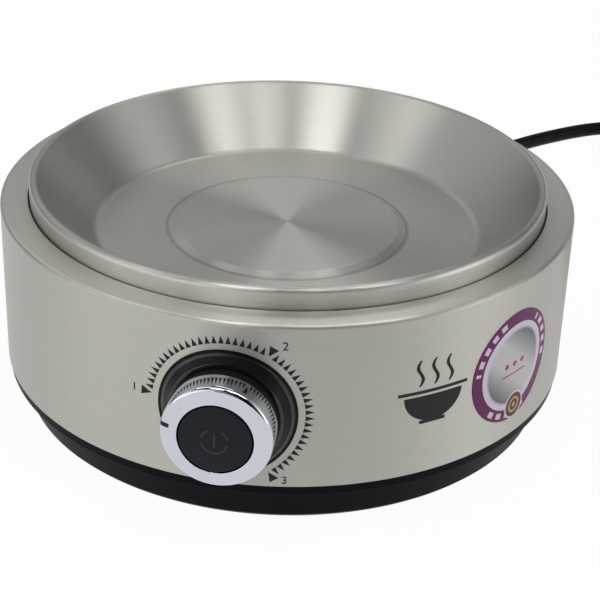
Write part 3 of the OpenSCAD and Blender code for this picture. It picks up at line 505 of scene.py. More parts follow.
def pick(piece, test, kind="FACE"):
    # enters edit mode with the faces or edges selected that pass the test
    takeUp(piece)
    bpy.ops.object.mode_set(mode="EDIT")
    bpy.ops.mesh.select_mode(type=kind)
    mesh = bmesh.from_edit_mesh(piece.data)
    for f in mesh.faces:
        f.select = False
    for e in mesh.edges:
        e.select = False
    for v in mesh.verts:
        v.select = False
    for item in (mesh.faces if kind == "FACE" else mesh.edges):
        item.select_set(bool(test(item)))
    mesh.select_flush_mode()
    bmesh.update_edit_mesh(piece.data)


def upright(e):
    return abs(e.verts[0].co.z - e.verts[1].co.z) > mm


def bevelled(piece, test, width, steps, kind="EDGE"):
    pick(piece, test, kind)
    bpy.ops.mesh.bevel(offset=width * mm, segments=steps)
    bpy.ops.object.mode_set(mode="OBJECT")
    return piece


def dress(piece, body, slotName, replaced=(), angle=32, smooth=True, look=None):
    takeUp(piece)
    if smooth:
        bpy.ops.object.shade_smooth_by_angle(angle=math.radians(angle))
    piece.data.materials.clear()
    piece.data.materials.append((look or finishes[slotName]).material)
    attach(piece, body)
    if replaced:
        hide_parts(*replaced)
    return piece


# the lead runs through listed points, then coils up behind the base
lead = {
    "thick": 6.4, "length": 0.8,
    "run": [
        (0, 116.9, 10), (0, 126, 10), (1.6, 136, 8.4), (5.4, 146, 5.6), (10.6, 156, 3.8),
        (17, 166, 3.2), (24, 177, 3.2), (32, 189, 3.2), (40, 200, 3.2), (49, 212, 3.2),
        (58, 223, 3.2), (68, 235, 3.2), (79, 247, 3.2), (92, 259, 3.2), (105, 269, 3.2),
        (119, 276.5, 3.2), (133, 283, 3.3), (149, 288, 3.5), (166, 290, 3.7),
    ],
    "coilAt": (166, 247), "coilR": 43, "pitch": 6.5, "turns": 2.25, "coilZ": 3.7,
    "climb": 140, "rise": 6.6, "share": 0.85, "step": 15,
    "end": [(194.4, 240, 10.2), (194.4, 232, 10.3), (194.4, 223, 10.2), (194.4, 214, 10), (194.4, 207, 10)],
}


def leadRoute(size):
    route = list(size["run"])
    whole = size["turns"] * 360
    a = size["step"]
    while a <= whole + 1e-6:
        r = size["coilR"] - size["pitch"] * a / 360
        t = size["share"] * max(0, (a - (whole - size["climb"])) / size["climb"])
        route.append((size["coilAt"][0] + r * math.sin(math.radians(a)),
                      size["coilAt"][1] + r * math.cos(math.radians(a)),
                      size["coilZ"] + size["rise"] * (3 * t * t - 2 * t ** 3)))
        a += size["step"]
    return [Vector(p) * mm for p in route + size["end"]]


def smoothRoute(route, parts=4):
    line = []
    for i in range(len(route) - 1):
        a, b, c, d = route[max(i - 1, 0)], route[i], route[i + 1], route[min(i + 2, len(route) - 1)]
        for k in range(parts):
            t = k / parts
            line.append(0.5 * (2 * b + (c - a) * t + (2 * a - 5 * b + 4 * c - d) * t * t
                               + (3 * b - a - 3 * c + d) * t ** 3))
    return line + [route[-1]]


def makeLead(size):
    line = smoothRoute(leadRoute(size))
    curve = bpy.data.curves.new("mains_lead", "CURVE")
    curve.dimensions = "3D"
    track = curve.splines.new("POLY")
    track.points.add(len(line) - 1)
    for point, here in zip(track.points, line):
        point.co = (*here, 1)
    curve.bevel_depth = size["thick"] / 2 * mm
    curve.bevel_resolution = 6
    curve.materials.append(finishes["cord_rubber"].material)
    return linked("mains_lead", curve), line[0]


tie = {"middle": (35.48, 0, 3.7), "wide": 22.83, "band": 9, "tall": 7.4, "strap": 0.5, "bend": 2.4,
       "turn": 200, "flap": (11, 8.4, 0.7), "flapAt": (36.48, 0, 7.3)}


def makeTie(size):
    piece = block("lead_tie", (size["wide"], size["band"], size["tall"]), size["middle"])
    pick(piece, lambda f: abs(f.normal.y) > 0.9)
    bpy.ops.mesh.delete(type="FACE")
    bevelled(piece, lambda e: abs(e.verts[0].co.y - e.verts[1].co.y) > mm, size["bend"], 6)
    apply(piece, "SOLIDIFY", thickness=size["strap"] * mm, offset=-1)
    flap = block("tie_flap", size["flap"], size["flapAt"])
    apply(flap, "BEVEL", width=0.3 * mm, segments=3)
    piece = joined("lead_tie", [piece, flap])
    place(piece, (lead["coilAt"][0], lead["coilAt"][1], 0), (0, 0, size["turn"]))
    return dress(piece, "housing", "tie_plastic", ["cord_tie"])


plug = {
    "x": 194.4, "root": 187, "long": 50, "wide": 49, "thick": 20, "narrow": 5, "corner": 7, "edge": 1.6,
    "grooves": 3, "grooveFrom": 13, "groovePitch": 7, "grooveR": 1.6, "grip": 0.9,
    "lid": (8, 11.34, 1.2), "lidY": 166.6, "lidGap": 0.35, "lidSeat": 1.6, "lidSunk": 0.4,
    "screwY": 160.2, "screwR": 2.9, "screwHole": 3.2, "screwLow": 4, "screwSunk": 1.4,
    "slot": (6, 0.8, 1), "slotSunk": 1.6, "leadEnd": 207, "leadZ": 10,
    "pins": [(-11.1, 173, 6.35, 4, 37.7), (11.1, 173, 6.35, 4, 37.7), (0, 150.8, 4, 8, 42.7)],
    "pinRoot": 2, "pinTip": 0.9, "cuff": 9.5, "cuffWall": 0.03,
    "sleeve": [(3.25, 0), (4.1, 0, 0.3), (4.5, 4), (4.1, 4.6), (4.1, 6), (4.75, 6.6), (5.05, 9.6),
               (4.6, 10.2), (4.6, 11.6), (5.3, 12.2), (5.6, 15.2), (5.2, 15.8), (5.2, 17.2), (5.9, 17.8),
               (6.2, 23), (3.25, 23)],
}


def sharpRim(e):
    # a level edge where two faces meet at a right angle
    level = abs(e.verts[0].co.z - e.verts[1].co.z) < 1e-5
    return level and abs(e.link_faces[0].normal.dot(e.link_faces[1].normal)) < 0.1


def plugCase(size):
    low, high = size["root"] - size["long"], size["root"]
    case = block("plug_case", (size["wide"], size["long"], size["thick"]),
                 (size["x"], (low + high) / 2, size["thick"] / 2))
    shrink = 1 - 2 * size["narrow"] / size["wide"]
    pick(case, lambda f: f.normal.y > 0.9)
    bpy.ops.transform.resize(value=(shrink, 1, 1), center_override=(size["x"] * mm, 0, 0))
    bevelled(case, upright, size["corner"], 8)
    bevelled(case, sharpRim, size["edge"], 4)
    for side in (-1, 1):      # finger grooves on each side, which follow its slope
        for k in range(size["grooves"]):
            along = size["grooveFrom"] + size["groovePitch"] * k
            half = size["wide"] / 2 - size["narrow"] * along / size["long"]
            groove = rod("groove", size["grooveR"], -2, size["thick"] + 2, 24)
            out = half + size["grooveR"] - size["grip"]
            cutAway(case, place(groove, (size["x"] + side * out, low + along, 0)))
    return case


def makePlug(size):
    face = size["thick"]
    case = plugCase(size)
    seat = [side + size["lidGap"] for side in size["lid"][:2]]
    cutAway(case, block("seat", (*seat, size["lidSeat"]), (size["x"], size["lidY"], face)))
    lid = block("fuse_cover", size["lid"], (size["x"], size["lidY"], face - size["lidSunk"]))
    apply(lid, "BEVEL", width=0.25 * mm, segments=2)
    hole = rod("hole", size["screwHole"], face - 3, face + 1, 40)
    cutAway(case, place(hole, (size["x"], size["screwY"], 0)))
    screw = rod("plug_screw", size["screwR"], face - size["screwLow"], face - size["screwSunk"], 32)
    cutAway(screw, block("slot", size["slot"], (0, 0, face - size["slotSunk"])))
    dress(place(screw, (size["x"], size["screwY"], 0)), "housing", "zinc_steel")
    sleeve = turned("sleeve", rounded(size["sleeve"]), 48)
    place(sleeve, (size["x"], size["leadEnd"], size["leadZ"]), (90, 0, 0))
    case = dress(joined("plug_case", [case, lid, sleeve]), "housing", "plug_plastic", ["plug_body"])
    pins, cuffs = [], []
    for x, y, wide, deep, top in size["pins"]:
        low = face - size["pinRoot"]
        pin = block("pin", (wide, deep, top - low), (size["x"] + x, y, (top + low) / 2))
        bevelled(pin, lambda f: f.normal.z > 0.9, size["pinTip"], 3, "FACE")
        apply(pin, "BEVEL", width=0.25 * mm, segments=2, limit_method="ANGLE",
              angle_limit=math.radians(50))
        pins.append(pin)
    for x, y, wide, deep, top in size["pins"][:2]:      # only the two live pins have cuffs
        wall, long = 2 * size["cuffWall"], size["cuff"]
        cuff = block("cuff", (wide + wall, deep + wall, long), (size["x"] + x, y, face + long / 2))
        cuffs.append(apply(cuff, "BEVEL", width=0.3 * mm, segments=2))
    pins = dress(joined("plug_blades", pins), "housing", "brass", ["plug_pins"])
    return [case, pins, screw, dress(joined("plug_cuffs", cuffs), "housing", "plug_plastic")]


relief = {
    "root": 5, "tip": 4, "from": 95.7, "to": 116.9, "bore": 3.25, "inside": 88.5, "neck": 4.35,
    "head": 0.5, "headLong": 2.4, "collar": 0.9, "collarLong": 1.6, "ribs": 4, "pitch": 4,
    "crest": 0.9, "trough": 0.7, "troughR": 3.8,
}


def makeRelief(size):
    long = size["to"] - size["from"]
    head, shoulder = size["root"] + size["head"], size["inside"] + size["headLong"]
    collar = size["root"] + size["collar"]
    line = [(size["bore"], size["inside"]), (head, size["inside"], 0.3), (head, shoulder),
            (size["neck"], shoulder), (size["neck"], size["from"]), (collar, size["from"], 0.3),
            (collar, size["from"] + size["collarLong"], 0.5), (size["root"] - 0.1, size["from"] + 2.0)]
    half, gap, groove = size["crest"], size["trough"], size["troughR"]
    for k in range(size["ribs"]):       # each rib is a little smaller than the last
        z = size["to"] - size["pitch"] * (size["ribs"] - k)
        share = (z - size["from"]) / long
        r = size["root"] + (size["tip"] - size["root"]) * share
        line += [(r, z - half, 0.25), (groove, z - gap), (groove, z + gap), (r, z + half, 0.25)]
    line += [(size["tip"], size["to"], 0.4), (size["bore"], size["to"])]
    piece = turned("lead_relief", rounded(line, 4, 0.08), 64)
    place(piece, (0, 0, levels["cord"]), (-90, 0, 0))
    return dress(piece, "housing", "black_plastic", ["strain_relief"])


cord, cordStart = makeLead(lead)
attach(cord, "housing")
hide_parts("power_cord", "cord_coil", "plug_lead")
makePlug(plug) + [makeTie(tie)]
makeRelief(relief)
say("lead, tie and plug are made")


drum = {
    "sheet": 0.8, "bend": 1.4, "mouth": 90.5, "lip": 0.25, "low": 18.8, "high": 76.6,
    "hole": 20.6, "holeFrom": 88, "holeTo": 104,
    "rows": 34, "rowHalf": 23.8,      # the wall's rows of faces lie round the dial
}


def makeDrum(size):
    r, inner = drumR, drumR - size["sheet"]
    low, row = levels["dial"] - size["rowHalf"], 2 * size["rowHalf"] / size["rows"]
    wall = [(r, low + row * k) for k in range(size["rows"] + 1)]
    line = rounded([(r, size["low"], 0.2), *wall, (r, size["high"], size["bend"]),
                    (size["mouth"], size["high"], size["lip"]),
                    (size["mouth"], size["high"] - size["sheet"]),
                    (inner, size["high"] - size["sheet"], 0.6), (inner, size["low"])])
    piece = turned("drum_shell", line, 240)
    cutAway(piece, onDial(rod("hole", size["hole"], size["holeFrom"], size["holeTo"], 120)))
    return dress(piece, "housing", "drum_steel", ["outer_shell"])


makeDrum(drum)
say("drum is turned")


pan = {
    "bossR": 42.5, "bossTop": 39.3, "bossZ": 63.9, "floorZ": 62.4, "floorR": 67.8, "coneR": 86.5,
    "beadR": 88.3, "beadZ": 82, "bead": 1.8, "skirt": 90, "flangeZ": 75, "flangeR": 96.5, "sheet": 1,
    "bossRings": (14, 28), "floorRings": (52, 60), "beadSteps": 18,
}


def makePan(size):
    sheet, floorZ, bossZ = size["sheet"], size["floorZ"], size["bossZ"]
    skirt, flangeZ = size["skirt"], size["flangeZ"]
    slope = math.atan2(size["beadZ"] - floorZ, size["coneR"] - size["floorR"])
    bead = []
    for k in range(size["beadSteps"] + 1):      # the rolled edge, from the sloping side over its crown
        a = (math.pi / 2 + slope) * (1 - k / size["beadSteps"])
        bead.append((size["beadR"] + size["bead"] * math.cos(a),
                     size["beadZ"] + size["bead"] * math.sin(a)))
    inside = [(0, bossZ), *[(r, bossZ) for r in size["bossRings"]], (size["bossTop"], bossZ, 1.4),
              (size["bossR"], floorZ, 1.2), *[(r, floorZ) for r in size["floorRings"]],
              (size["floorR"], floorZ, 3.2)]
    flange = [(skirt, size["beadZ"] - 1.5), (skirt, flangeZ, 0.8), (size["flangeR"], flangeZ),
              (size["flangeR"], flangeZ - sheet), (skirt - sheet, flangeZ - sheet)]
    under = [(skirt - sheet, size["beadZ"] - 1), (size["coneR"] + 1.2, size["beadZ"] - 1),
             (size["floorR"] + 0.7, floorZ - sheet), (size["bossR"], floorZ - sheet),
             (size["bossTop"], bossZ - sheet), (0, bossZ - sheet)]
    piece = turned("pan_dish", rounded([*inside, *bead, *flange, *under], 8, 0.2), 256)
    return dress(piece, "housing", "pan_steel", ["heating_pan"], 40)


makePan(pan)
say("pan is turned")


# the tray's outline starts at its middle and runs along the outside first
tray = {
    "outline": [(0, 2), (91.7, 2, 0.5), (93.3, 3.6, 0.7), (95.6, 15.2, 0.35), (99.4, 15.2, 0.3),
                (99.4, 18.8, 0.2), (98.9, 18.8), (98.9, 24, 0.3), (96.7, 24, 0.3), (96.7, 17.4),
                (93.4, 17.4), (91.1, 4.2), (0, 4.2)],
    "vents": 10, "ventAt": 30, "vent": (16, 3), "ventEnd": 1.4,
    "screwAt": 84, "screwHole": 2.25, "headHole": 4.2, "seat": 8, "pillar": 5.8, "pillarTop": 30,
    "floor": 4, "footAt": 78, "footR": 7.05, "footSeat": 3.1, "exit": 4.4, "exitFrom": 85, "exitTo": 101,
}


def onRing(r, angle):
    return r * math.cos(math.radians(angle)), r * math.sin(math.radians(angle)), 0


def makeTray(size):
    piece = turned("base_moulding", rounded(size["outline"], 6, 0.12), 240)
    cuts = []
    for k in range(size["vents"]):
        vent = block("vent", (*size["vent"], 6), (size["ventAt"], 0, 3))
        bevelled(vent, upright, size["ventEnd"], 5)
        cuts.append(place(vent, turn=(0, 0, 360 / size["vents"] * k)))
    cutAway(piece, joined("vents", cuts))
    for turn in (0, 90, 180, 270):
        screw = onRing(size["screwAt"], turn + 45)
        addOn(piece, place(rod("pillar", size["pillar"], size["floor"], size["pillarTop"], 48), screw))
        cutAway(piece, place(rod("hole", size["screwHole"], 1, size["pillarTop"] + 1, 32), screw),
                place(rod("head", size["headHole"], 1, size["seat"], 48), screw),
                place(rod("foot", size["footR"], 1, size["footSeat"], 48), onRing(size["footAt"], turn)))
    hole = rod("exit", size["exit"], size["exitFrom"], size["exitTo"], 40)
    cutAway(piece, place(hole, (0, 0, levels["cord"]), (-90, 0, 0)))
    return dress(piece, "housing", "black_plastic", ["base_tray"])


foot = {"r": 7, "top": 3.1, "edge": 0.6, "dish": 4.6, "deep": 0.5}


def makeFeet(size):
    line = [(0, size["deep"]), (size["dish"], size["deep"], 0.3), (size["dish"] + 0.5, 0, 0.2),
            (size["r"], 0, size["edge"]), (size["r"], size["top"]), (0, size["top"])]
    one = turned("foot", rounded(line, 4, 0.1), 64)
    feet = [place(copyOf(one, "foot"), onRing(tray["footAt"], turn)) for turn in (0, 90, 180, 270)]
    bpy.data.objects.remove(one)
    return dress(joined("rubber_feet", feet), "housing", "foot_rubber", ["foot_pads"])


makeTray(tray)
makeFeet(foot)
say("tray and feet are made")


# heights of the dial's pieces are distances from the drum's axis; the bezel's are from the wall
bezel = {
    "outline": [(12.4, -5), (20.3, -5), (20.3, -2.6), (22.15, -2.4), (22.2, 0.5, 0.22), (20.9, 0.55, 0.3),
                (18.3, 2, 0.9), (15, 2), (12.4, 2, 0.3)],
    "crown": 18.3, "shoulder": 20.9, "plug": 20.3, "wallFrom": 14.8, "wallTo": 74.8,
}


def wrapped(point):
    # lowers the outer part of the bezel by as much as the wall curves away
    past = math.hypot(point.x, point.y) - bezel["crown"] + 0.4
    share = min(1, max(0, past / (bezel["shoulder"] - bezel["crown"])))
    fall = drumR - math.sqrt(drumR ** 2 - point.x ** 2)
    return point.x, point.y, point.z - fall * share


def makeBezel(size):
    line = rounded([(r, drumR + rise, *bend) for r, rise, *bend in size["outline"]], 7, 0.12)
    piece = onDial(moveBy(turned("dial_bezel", line, 192), wrapped))
    # what lies inside the wall's own curve goes, but for the plug in the wall's hole
    trim = rod("trim", drumR - 0.02, size["wallFrom"], size["wallTo"], 480)
    cutAway(trim, onDial(rod("keep", size["plug"] + 0.01, 90, 104, 96)))
    cutAway(piece, trim)
    return dress(piece, "housing", "bezel_plastic", ["knob_bezel"])


knob = {
    "base": [(7.45, 98), (9.4, 98), (9.4, 106.5), (14.7, 106.5), (14.9, 102.5, 0.3), (16.9, 102.5, 0.4),
             (16.9, 107.25), (16.7, 107.25), (16.7, 112.8), (14.9, 112.8), (14.9, 108.5), (7.45, 108.5)],
    "ring": [(17.75, 107.2, 0.15), (17.45, 114.68, 1.5), (11.9, 115.9, 0.22),
             (11.9, 112.8), (12.9, 112.8), (12.9, 114.3), (16.7, 113.2), (16.7, 107.2)],
    "pointer": -80, "slot": 1.5, "slotFrom": 14.55, "slotDeep": 1.2, "slotTool": (6, 4),
    "slotBend": 0.45, "face": 114.8,
}


def makeKnob(size):
    base = onDial(turned("dial_grip", rounded(size["base"], 6, 0.1), 144))
    dress(base, "knob", "knob_plastic", ["knob_base"])
    ring = turned("dial_ring", rounded(size["ring"], 6, 0.1), 256)
    long, tall = size["slotTool"]
    middle = size["slotFrom"] + long / 2
    notch = block("notch", (size["slot"], long, tall),
                  (0, middle, size["face"] - size["slotDeep"] + tall / 2))
    bevelled(notch, lambda e: upright(e) and e.verts[0].co.y < middle * mm, size["slotBend"], 4)
    cutAway(ring, place(notch, turn=(0, 0, -size["pointer"])))
    return dress(onDial(ring), "knob", "knob_chrome", ["knob_ring"])


button = {"r": 11.4, "front": 116.9, "dome": 0.9, "skirt": 5.3, "wall": 1.6, "cap": 3.3, "stem": 2.4,
          "stemBack": 90, "sign": 4.4, "stroke": 0.55, "gap": 32, "sideGap": 14, "bar": (0.5, 5.2)}


def faceAt(r):
    # how far out the button's domed face stands at a distance from its middle
    ball = (button["r"] ** 2 + button["dome"] ** 2) / (2 * button["dome"])
    return button["front"] - ball + math.sqrt(ball ** 2 - r * r)


def makeButton(size):
    r, inner = size["r"], size["r"] - size["wall"]
    skirt, cap = size["front"] - size["skirt"], size["front"] - size["cap"]
    face = [(r * k / 8, faceAt(r * k / 8)) for k in range(8)]
    line = rounded([*face, (r, faceAt(r), 0.45), (r, skirt), (inner, skirt), (inner, cap),
                    (size["stem"], cap), (size["stem"], size["stemBack"]), (0, size["stemBack"])], 7, 0.12)
    dress(onDial(turned("start_button", line, 128)), "button", "button_plastic", ["power_button"])


def makeSign(size):
    # a ring with gaps and an upright bar, laid on the button's face
    bpy.ops.mesh.primitive_circle_add(vertices=90, radius=size["sign"] * mm)
    sign = newest("start_sign")
    pick(sign, lambda e: True, "EDGE")
    bpy.ops.mesh.extrude_edges_move(TRANSFORM_OT_translate={"value": (0, 0, 0)})
    shrink = 1 - size["stroke"] / size["sign"]
    bpy.ops.transform.resize(value=(shrink, shrink, 1), center_override=(0, 0, 0))
    bpy.ops.object.mode_set(mode="OBJECT")

    def inGap(f):
        middle = f.calc_center_median()
        a = abs(math.degrees(math.atan2(middle.x, middle.y)))
        return a < size["gap"] or abs(a - 90) < size["sideGap"]

    pick(sign, inGap)
    bpy.ops.mesh.delete(type="FACE")
    bpy.ops.object.mode_set(mode="OBJECT")
    sign = joined("start_sign", [sign, bar("bar", size["bar"], (0, 0.4), (1, 8))])
    moveBy(sign, lambda p: (p.x, p.y, faceAt(math.hypot(p.x, p.y)) + 0.02))
    apply(sign, "SOLIDIFY", thickness=0.05 * mm, offset=0)
    onDial(sign)
    return dress(sign, "button", "button_plastic", look=startSign)


makeBezel(bezel)
makeKnob(knob)
makeButton(button)
makeSign(button)
say("dial and button are made")


def onWall(piece, lift=0.03, turn=0, thick=0.06, level=levels["dial"]):
    # a flat drawing in X and Y is laid on the wall, with its middle at the given height
    moveBy(piece, lambda p: (p.x, -math.sqrt((drumR + lift) ** 2 - p.x ** 2), p.y + level))
    apply(piece, "SOLIDIFY", thickness=thick * mm, offset=0)
    return place(piece, turn=(0, 0, turn))


def ink(piece):
    return dress(piece, "housing", "black_plastic", smooth=False, look=printBlack)


def flatShape(name, points):
    # a face with straight sides, drawn in X and Y
    bpy.ops.mesh.primitive_circle_add(vertices=len(points), radius=mm, fill_type="NGON")
    piece = newest(name)
    for v, p in zip(piece.data.vertices, points):
        v.co = Vector((p[0], p[1], 0)) * mm
    return piece


def slicedUp(piece, gap=1.5):
    # cut into upright strips, so that it follows the wall when it is laid on it
    takeUp(piece)
    bpy.ops.object.mode_set(mode="EDIT")
    low = min(v[0] for v in piece.bound_box) / mm
    high = max(v[0] for v in piece.bound_box) / mm
    x = low + gap
    while x < high:
        bpy.ops.mesh.select_all(action="SELECT")
        bpy.ops.mesh.bisect(plane_co=(x * mm, 0, 0), plane_no=(1, 0, 0))
        x += gap
    bpy.ops.object.mode_set(mode="OBJECT")
    return piece


scale = {
    "ends": (-85, 147), "between": 22, "digit": 4.0,
    # foot, tip and width of a mark; the large ones, at both ends and halfway, point inwards
    "small": (24.3, 27, 1.7), "large": (28, 24.6, 3.2),
    "digits": [("1", -30.4, 2.6), ("2", 17.7, 24.7), ("3", 18.4, -23.6)],
}


def makeScale(size):
    marks = []
    first, last = size["ends"]
    half = size["between"] + 1
    for k in range(2 * half + 1):
        a = first + (last - first) * k / (2 * half)
        low, high, wide = size["small" if k % half else "large"]
        mark = flatShape("mark", [(-wide / 2, low), (0, high), (wide / 2, low)])
        marks.append(place(mark, turn=(0, 0, -a)))
    ink(onWall(joined("dial_scale", marks)))
    digits = []
    for sign, x, y in size["digits"]:
        bpy.ops.object.text_add(location=(x * mm, y * mm, 0))
        text = bpy.context.object
        text.data.body = sign
        text.data.size = size["digit"] * mm
        text.data.align_x = "CENTER"
        text.data.align_y = "CENTER"
        bpy.ops.object.convert(target="MESH")
        digits.append(bpy.context.object)
        bpy.ops.object.transform_apply(location=True, rotation=True, scale=True)
    ink(onWall(slicedUp(joined("dial_digits", digits), 0.8)))


makeScale(scale)
say("scale is printed")

# a steaming dish, printed where such a base shows what it is for
dish = {
    "turn": 38.2, "level": 47.5, "bowl": (10.6, 9.4), "lip": (25.5, 1.1), "lipAt": 1.5, "stand": (9.5, 1.2),
    "standAt": -9.6, "steam": (-5.4, 0, 5.4), "steamTall": 9.5, "steamFrom": 3.6, "steamWide": 1.25,
    "wave": 1.0,
}


def makeDish(size):
    wide, deep = size["bowl"]
    bpy.ops.mesh.primitive_circle_add(vertices=96, radius=wide * mm, fill_type="NGON")
    bowl = newest("bowl")
    pick(bowl, lambda f: True)
    bpy.ops.transform.resize(value=(1, deep / wide, 1), center_override=(0, 0, 0))
    bpy.ops.mesh.bisect(plane_co=(0, 0, 0), plane_no=(0, 1, 0), clear_outer=True)
    bpy.ops.object.mode_set(mode="OBJECT")
    strokes = [slicedUp(bowl), bar("lip", size["lip"], (0, size["lipAt"]), (16, 1)),
               bar("stand", size["stand"], (0, size["standAt"]), (6, 1))]
    low, tall = size["steamFrom"], size["steamTall"]

    def drift(p):
        # thin at both ends, and bent like an S
        t = (p.y - low) / tall
        slim = 0.35 + 1.3 * math.sqrt(max(0, t * (1 - t)))
        return p.x * slim + size["wave"] * math.sin(t * math.tau), p.y, 0

    for x in size["steam"]:
        steam = bar("steam", (size["steamWide"], tall), (0, low + tall / 2), (2, 24))
        strokes.append(place(moveBy(steam, drift), (x, 0, 0)))
    ink(onWall(joined("dish_mark", strokes), turn=size["turn"], level=size["level"]))


makeDish(dish)

# a round foil seal, in mm from its middle; plain dashes stand round its rim
seal = {
    "turn": 58.5, "level": 45.7, "r": 20, "ring": 15.8, "pale": 13.7, "thick": 0.2,
    "plum": (0.155, 0.032, 0.115), "lilac": (0.74, 0.66, 0.82),
    "silver": (0.48, 0.48, 0.5), "shade": (0.13, 0.135, 0.14), "slant": 50,
    "gloss": (0.28, 0.38), "metal": 0.55,
    "dash": (0.78, 0.6, 0.76), "dashIn": 16.9, "dashOut": 19.0, "dashes": 8, "dashFill": 0.55,
    "groups": 3, "groupTurn": -0.1667, "groupFill": 0.56,
    "red": (0.42, 0.05, 0.06), "diamond": 1.25, "pitch": 4.2, "rowAt": 1, "rowHalf": 6.2,
    "ruleAt": -2.6, "rule": 0.28, "ruleHalf": 6.4,
    "badge": (1.8, -15.4), "badgeR": 5.1, "badgeIn": 4.4, "hoop": 2.5, "hoopHalf": 0.4, "dot": 0.9,
    "brown": (0.13, 0.055, 0.075), "gold": (0.6, 0.42, 0.16),
}


def foil(name, size):
    film = Finish(name, Specular_IOR_Level=0.1)
    x, y, z = film.split(film.spot())
    turn, slant = math.radians(size["turn"]), math.radians(size["slant"])
    u = (x * math.cos(turn) + y * math.sin(turn)) / mm      # along the wall
    v = (z - size["level"] * mm) / mm
    out = (u * u + v * v) ** 0.5
    grain = film.noise(film.gather(u * 6 + v * 6, u * 0.5 - v * 0.5, 0.0), 1.0, 2.0, 0.6)
    speck = film.noise(film.spot(), 900.0, 2.0)
    # pale foil, a lilac band and a plum rim
    tilt = abs(u * math.cos(slant) + v * math.sin(slant)) / size["pale"]
    silver = film.blend(film.fit(tilt + grain * 0.2, 0.35, 1.05), size["silver"], size["shade"])
    colour = film.blend(film.fit(out, size["pale"] - 0.7, size["pale"] + 0.5), silver, size["lilac"])
    colour = film.blend(out > size["ring"], colour, size["plum"])
    # three groups of dashes on the rim
    angle = v.maths("ARCTAN2", v, u) / math.tau
    sector = (angle * size["groups"] + 0.5 + size["groupTurn"] + 3).part()
    dashes = (sector * size["dashes"]).part() < size["dashFill"]
    dashes = dashes * (abs(sector - 0.5) < size["groupFill"] / 2)
    dashes = dashes * (out > size["dashIn"]) * (out < size["dashOut"])
    colour = film.blend(dashes, colour, size["dash"])
    # a row of diamonds over a rule
    step = abs((u / size["pitch"] + 0.5).part() - 0.5) * size["pitch"]
    diamonds = (step + abs(v - size["rowAt"]) < size["diamond"]) * (abs(u) < size["rowHalf"])
    rule = (abs(v - size["ruleAt"]) < size["rule"]) * (abs(u) < size["ruleHalf"])
    colour = film.blend(diamonds.orElse(rule), colour, size["red"])
    # a small round badge below them
    a, b = u - size["badge"][0], v - size["badge"][1]
    spread = (a * a + b * b) ** 0.5
    colour = film.blend(spread < size["badgeR"], colour, size["dash"])
    colour = film.blend(spread < size["badgeIn"], colour, size["brown"])
    hoop = (abs(spread - size["hoop"]) < size["hoopHalf"]).orElse(spread < size["dot"])
    colour = film.blend(hoop, colour, size["gold"])
    metal = (out < size["pale"]) * (spread > size["badgeR"]) * size["metal"]
    film.feed(Base_Color=colour, Metallic=metal, Roughness=film.fit(speck, 0.3, 0.7, *size["gloss"]),
              Normal=film.bump(grain, 0.002))
    return film


def makeSeal(size):
    bpy.ops.mesh.primitive_circle_add(vertices=128, radius=size["r"] * mm, fill_type="NGON")
    film = slicedUp(newest("seal_film"))
    onWall(film, 0.02 + size["thick"] / 2, size["turn"], size["thick"], size["level"])
    return dress(film, "housing", "seal_film", ["seal_label"], look=foil("sealFoil", size))


makeSeal(seal)
say("dish mark and seal are made")


# studio: soft panels, a world of broad soft glows, and a pale floor
studio = {
    "aim": (0, 0, 0.06), "distance": 1.38, "tint": (1, 0.995, 0.985),
    # name, degrees round from the front to the right, degrees up, width and height in metres, watts
    "panels": [
        ("panelFront", -16.5, 60, (0.42, 0.6), 3.7),
        ("panelRight", 64, 60, (0.42, 0.6), 2.8),
        ("panelLeft", -80, 60, (0.45, 0.6), 1.55),
        ("panelBack", 180, 55, (0.6, 0.4), 1.3),
        ("panelTop", 28, 65, (0.3, 0.5), 1.8),
    ],
    # degrees round, degrees up, strength
    "glows": [
        (-66, 8, 1.5), (-30, 8, 1.65), (86, 8, 2.4), (150, 8, 0.25), (180, 32, 0.43), (-144, 32, 0.52),
        (-108, 32, 0.5), (-72, 32, 0.34), (108, 32, 0.45), (120, 58, 0.12),
    ],
    "narrow": 14, "floor": 8.0, "floorGlow": 0.965,
    "screen": {"middle": (0.04, -1.25, 0.13), "size": (0.55, 0.26), "tone": 0.04},
}


class Sky(Finish):
    # the world, built with the same node method as the materials
    def __init__(self, name):
        world = bpy.data.worlds.new(name)
        world.use_nodes = True
        bpy.context.scene.world = world
        self.tree = world.node_tree
        self.shader = self.tree.nodes["Background"]


def toward(around, up):
    around, up = math.radians(around), math.radians(up)
    return Vector((math.sin(around) * math.cos(up), -math.cos(around) * math.cos(up), math.sin(up)))


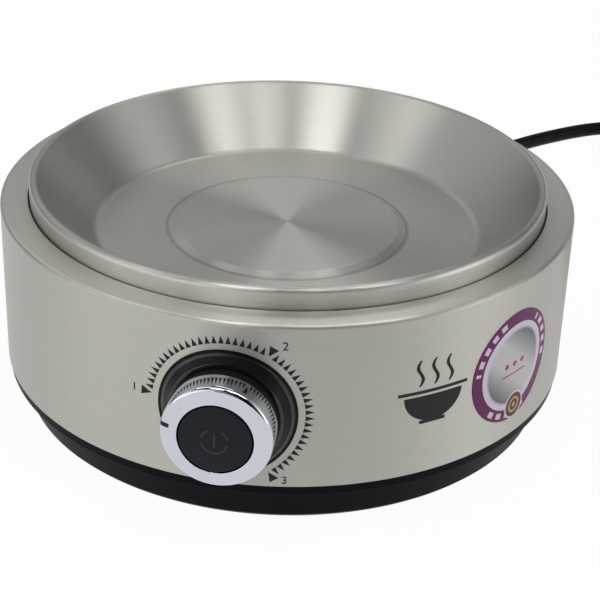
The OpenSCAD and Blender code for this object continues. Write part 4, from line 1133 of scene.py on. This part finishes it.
def addPanel(name, around, up, size, watts):
    lamp = bpy.data.lights.new(name, "AREA")
    lamp.shape = "RECTANGLE"
    lamp.size, lamp.size_y = size
    lamp.energy = watts
    lamp.color = studio["tint"]
    seat = linked(name, lamp)
    seat.location = Vector(studio["aim"]) + toward(around, up) * studio["distance"]
    seat.rotation_euler = (-toward(around, up)).to_track_quat("-Z", "Y").to_euler()
    seat.visible_camera = False


def addScreen(size):
    # a low dark screen in front, which the chrome and the wall show as a soft shade
    bpy.ops.mesh.primitive_plane_add(size=1)
    screen = newest("dark_screen")
    screen.scale = (*size["size"], 1)
    screen.location = size["middle"]
    screen.rotation_euler = (math.pi / 2, 0, 0)
    bpy.ops.object.transform_apply(location=True, rotation=True, scale=True)
    cloth = Finish("screenCloth", Roughness=0.9)
    weave = cloth.noise(cloth.spot(), 300.0, 2.0)
    cloth.feed(Base_Color=cloth.blend(weave, [size["tone"]] * 3, [size["tone"] * 1.3] * 3))
    screen.data.materials.append(cloth.material)
    screen.visible_camera = False


def lightStudio(size):
    bpy.context.scene.view_settings.view_transform = "Standard"
    for panel in size["panels"]:
        addPanel(*panel)
    addScreen(size["screen"])
    sky = Sky("studio")
    ray = sky.node("ShaderNodeTexCoord", {}, {}, "Generated")
    light = 0
    for around, up, strength in size["glows"]:
        facing = sky.node("ShaderNodeVectorMath", {"operation": "DOT_PRODUCT"},
                          {0: ray, 1: toward(around, up)}, "Value")
        light = facing.orElse(0.0) ** size["narrow"] * strength + light
    sky.feed(Color=(1, 1, 1, 1), Strength=light)
    bpy.ops.mesh.primitive_plane_add(size=size["floor"])
    ground = newest("floor")
    pale = Finish("floorPale", Roughness=0.9)
    soft = pale.noise(pale.spot(), 2.5, 2.0)
    pale.feed(Base_Color=pale.blend(soft, (0.84, 0.84, 0.84), (0.87, 0.87, 0.87)))
    glow = pale.node("ShaderNodeEmission", {}, {"Color": (1, 1, 1, 1), "Strength": 1.0})
    looked = 0
    for kind in ("Is Camera Ray", "Is Glossy Ray", "Is Transmission Ray"):
        looked = pale.node("ShaderNodeLightPath", {}, {}, kind).orElse(looked)
    both = pale.node("ShaderNodeMixShader", {}, {0: looked * size["floorGlow"],
                                                 1: Wire(pale, pale.shader.outputs[0]), 2: glow})
    pale.join(pale.tree.nodes["Material Output"].inputs["Surface"], both)
    ground.data.materials.append(pale.material)


lightStudio(studio)
say("studio is lit")
